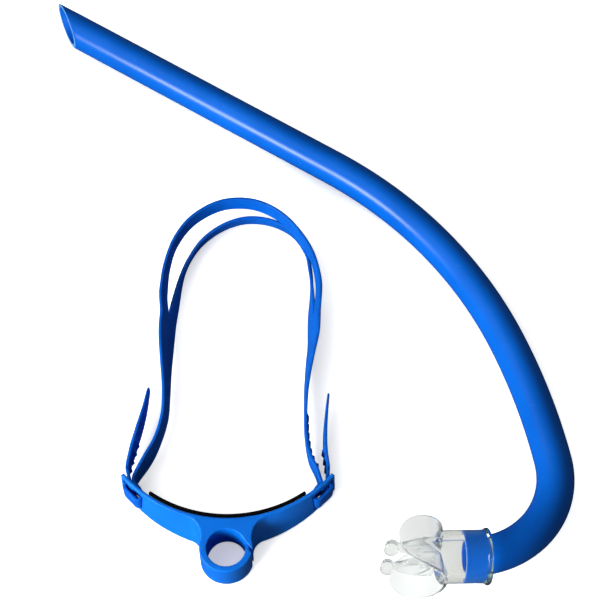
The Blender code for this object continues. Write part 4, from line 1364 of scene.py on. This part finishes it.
def build_upper_band(left, right, material):
    """The upper rear band, growing out of the roots of the two sides."""
    line = smooth_line(UPPER_BAND)
    along = distances(line)
    lean = np.array([band_lean(run / along[-1], UPPER_LEAN) for run in along])
    lift = REFERENCE_Z - sum(BAND_UPPER_Z) / 2
    line = line + normals(line, to_left=True) * (lean * lift)[:, None]
    for end, root in ((0, left[0]), (-1, right[0])):
        gap = root.point - line[end]
        for i in range(len(line)):
            share = ease(1 - abs(along[i] - along[end]) / JOIN_LENGTH)
            line[i] = line[i] + gap * share

    # run back into the roots so that the join is inside them
    def inside_root(side):
        return [s for s in side if SPLIT_Y - 7.0 < s.point[1] < SPLIT_Y - 0.2]

    left_in, right_in = inside_root(left)[::-1], inside_root(right)
    line = np.concatenate([[s.point for s in left_in], line, [s.point for s in right_in]])
    lean = np.concatenate([[s.lean for s in left_in], lean, [s.lean for s in right_in]])
    line = eased_split(softened(line, 6))
    count = len(line)
    # a trace thinner and lower there, to stay under the root's skin
    grown = np.ones(count)
    grown[:len(left_in)] = 0
    grown[count - len(right_in):] = 0
    grown = softened(grown, 6)
    band = ribbon(
        "strap_upper_rear_band", line, normals(line, to_left=True),
        half=np.full(count, STRAP_THICK / 2) - 0.04 * (1 - grown),
        low=np.full(count, BAND_UPPER_Z[0]),
        high=np.full(count, BAND_UPPER_Z[1]) - 0.05 * (1 - grown),
        lean=softened(lean, 20),
        teeth=np.zeros(count),
        material=material,
    )
    start, end = (tuple(place(ARC_CENTRE[0], y)) for y in UPPER_BLEND_Y)
    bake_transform(band)
    stand_in(band, "strap_upper_band")


def build_free_end(side, material):
    """A tapered tail with a rounded tip, running back from the fold."""
    line, _, fold_end = end_samples(side)
    tail = line[fold_end - TAIL_LAP:]
    along = distances(tail)
    share = along / along[-1]
    taper = 1 - 0.64 * np.clip((share - 0.45) / 0.55, 0, 1) ** 1.5
    thinning = 1 - 0.30 * np.clip((share - 0.55) / 0.45, 0, 1)
    # the tip closes in a quarter circle over its last 3 mm
    to_tip = np.clip((along[-1] - along) / 3.0, 0.0, 1.0)
    closing = np.sqrt(to_tip * (2 - to_tip))
    half_height = (STRAP_Z[1] - STRAP_Z[0]) / 2 * taper * np.maximum(closing, 0.12)
    middle = sum(STRAP_Z) / 2
    last_tooth = 1.0 + TAIL_TEETH[side] * TOOTH_PITCH
    piece = ribbon(
        "strap_free_end_" + side, tail, normals(tail, to_left=side == "right"),
        half=STRAP_THICK / 2 * thinning * np.maximum(closing, 0.3),
        low=middle - half_height,
        high=middle + half_height,
        lean=TAIL_LEAN[side] * np.clip(along / 15.0, 0, 1),
        teeth=[tooth(run, 1.0, last_tooth, TAIL_TOOTH_H) for run in along],
        material=material,
    )
    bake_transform(piece)
    stand_in(piece, "strap_tail_" + side)


def build_straps(material):
    left, right = build_main_band(material)
    build_upper_band(left, right, material)
    for side in ("left", "right"):
        build_free_end(side, material)


# ------------------------------------------------------------------ stage
def floor_material():
    shader = Shader("floor_white")
    path = shader.node("LightPath").outputs
    # what the lens sees is a bright sweep; what the object receives back from it is
    # held down, as with a matt table
    received = shader.mix(path["Is Glossy Ray"], (0.30, 0.31, 0.32), (0.05, 0.05, 0.05))
    # painted contact shadow: the floor's glow is darker where something stands close
    near = shader.node("AmbientOcclusion", {"Distance": 0.020}, samples=8).outputs["AO"]
    painted_contact_shadow = shader.span(near, between=(0.0, 0.9), to=(0.22, 0.90))
    seen_glow = shader.math("MULTIPLY", path["Is Camera Ray"], painted_contact_shadow)
    through_glow = shader.span(
        path["Is Transmission Ray"], between=(0.0, 1.0), to=(0.0, 0.92)
    )
    shader.surface({
        "Base Color": shader.mix(path["Is Camera Ray"], received, (0.92, 0.92, 0.92)),
        "Roughness": 1.0,
        "Specular IOR Level": 0.0,
        "Emission Color": (1, 1, 1, 1),
        "Emission Strength": shader.math("ADD", seen_glow, through_glow),
    })
    return shader.material


def build_floor():
    half, z = 4.0, -0.0002
    mesh = bpy.data.meshes.new("floor")
    corners = [(-half, -half, z), (half, -half, z), (half, half, z), (-half, half, z)]
    mesh.from_pydata(corners, [], [(0, 1, 2, 3)])
    mesh.materials.append(floor_material())
    add_object("floor", mesh)


def build_world():
    """A pale sky whose strength depends on the kind of ray."""
    world = bpy.data.worlds.new("studio")
    bpy.context.scene.world = world
    world.use_nodes = True
    tree = world.node_tree
    background = tree.nodes["Background"]
    background.inputs["Color"].default_value = (0.90, 0.95, 1.0, 1)
    path = tree.nodes.new("ShaderNodeLightPath")
    strengths = {"Is Glossy Ray": 0.015, "Is Transmission Ray": 0.70, "Is Diffuse Ray": 0.165}
    total = None
    for kind, strength in strengths.items():
        term = tree.nodes.new("ShaderNodeMath")
        term.operation = "MULTIPLY_ADD"
        tree.links.new(path.outputs[kind], term.inputs[0])
        term.inputs[1].default_value = strength
        term.inputs[2].default_value = 0.0
        if total is not None:
            tree.links.new(total.outputs[0], term.inputs[2])
        total = term
    tree.links.new(total.outputs[0], background.inputs["Strength"])


def area_light(name, where, target, size, power, colour=(1, 1, 1), glossy=False,
               size_y=None, spread=180):
    """An area light aimed at target; places and sizes in m, power in W."""
    light = bpy.data.lights.new(name, "AREA")
    light.energy = power
    light.color = colour
    light.size = size
    light.spread = math.radians(spread)
    if size_y:
        light.shape = "RECTANGLE"
        light.size_y = size_y
    obj = add_object(name, light)
    obj.location = where
    aim = Vector(target) - Vector(where)
    obj.rotation_euler = aim.to_track_quat("-Z", "Y").to_euler()
    obj.visible_glossy = glossy


def build_lights():
    area_light(
        "top_soft", where=(-0.46, 0.12, 0.70), target=(-0.12, 0.02, 0), size=0.6, power=1.7
    )
    area_light(
        "front_left", where=(-0.52, -0.66, 0.30), target=(-0.07, -0.12, 0.01),
        size=0.30, power=1.02, spread=64,
    )
    area_light(
        "key_left", where=(-0.80, -0.46, 0.46), target=(-0.04, 0.04, 0),
        size=0.36, size_y=0.34, power=6.3, colour=(0.86, 0.95, 1.0), glossy=True,
    )


def build_camera():
    """Looks back and down from the front, 60.5 degrees below the horizon."""
    camera = bpy.data.cameras.new("camera")
    camera.lens = 102.0
    camera.sensor_width = 36.0
    camera.clip_start = 0.05
    camera.clip_end = 20.0
    obj = add_object("camera", camera)
    obj.location = place(0.0, -526.0, 929.7)
    obj.rotation_euler = (math.radians(90.0 - 60.5), 0.0, 0.0)
    bpy.context.scene.camera = obj
    bpy.context.scene.view_settings.view_transform = "Standard"


build_tube(tube_material(), cut_rim_material())
build_mouthpiece(silicone_material())
build_bracket(bracket_material())
build_pad(foam_material(), film_material())
build_straps(strap_material())
build_floor()
build_world()
build_lights()
build_camera()

bpy.context.view_layer.update()
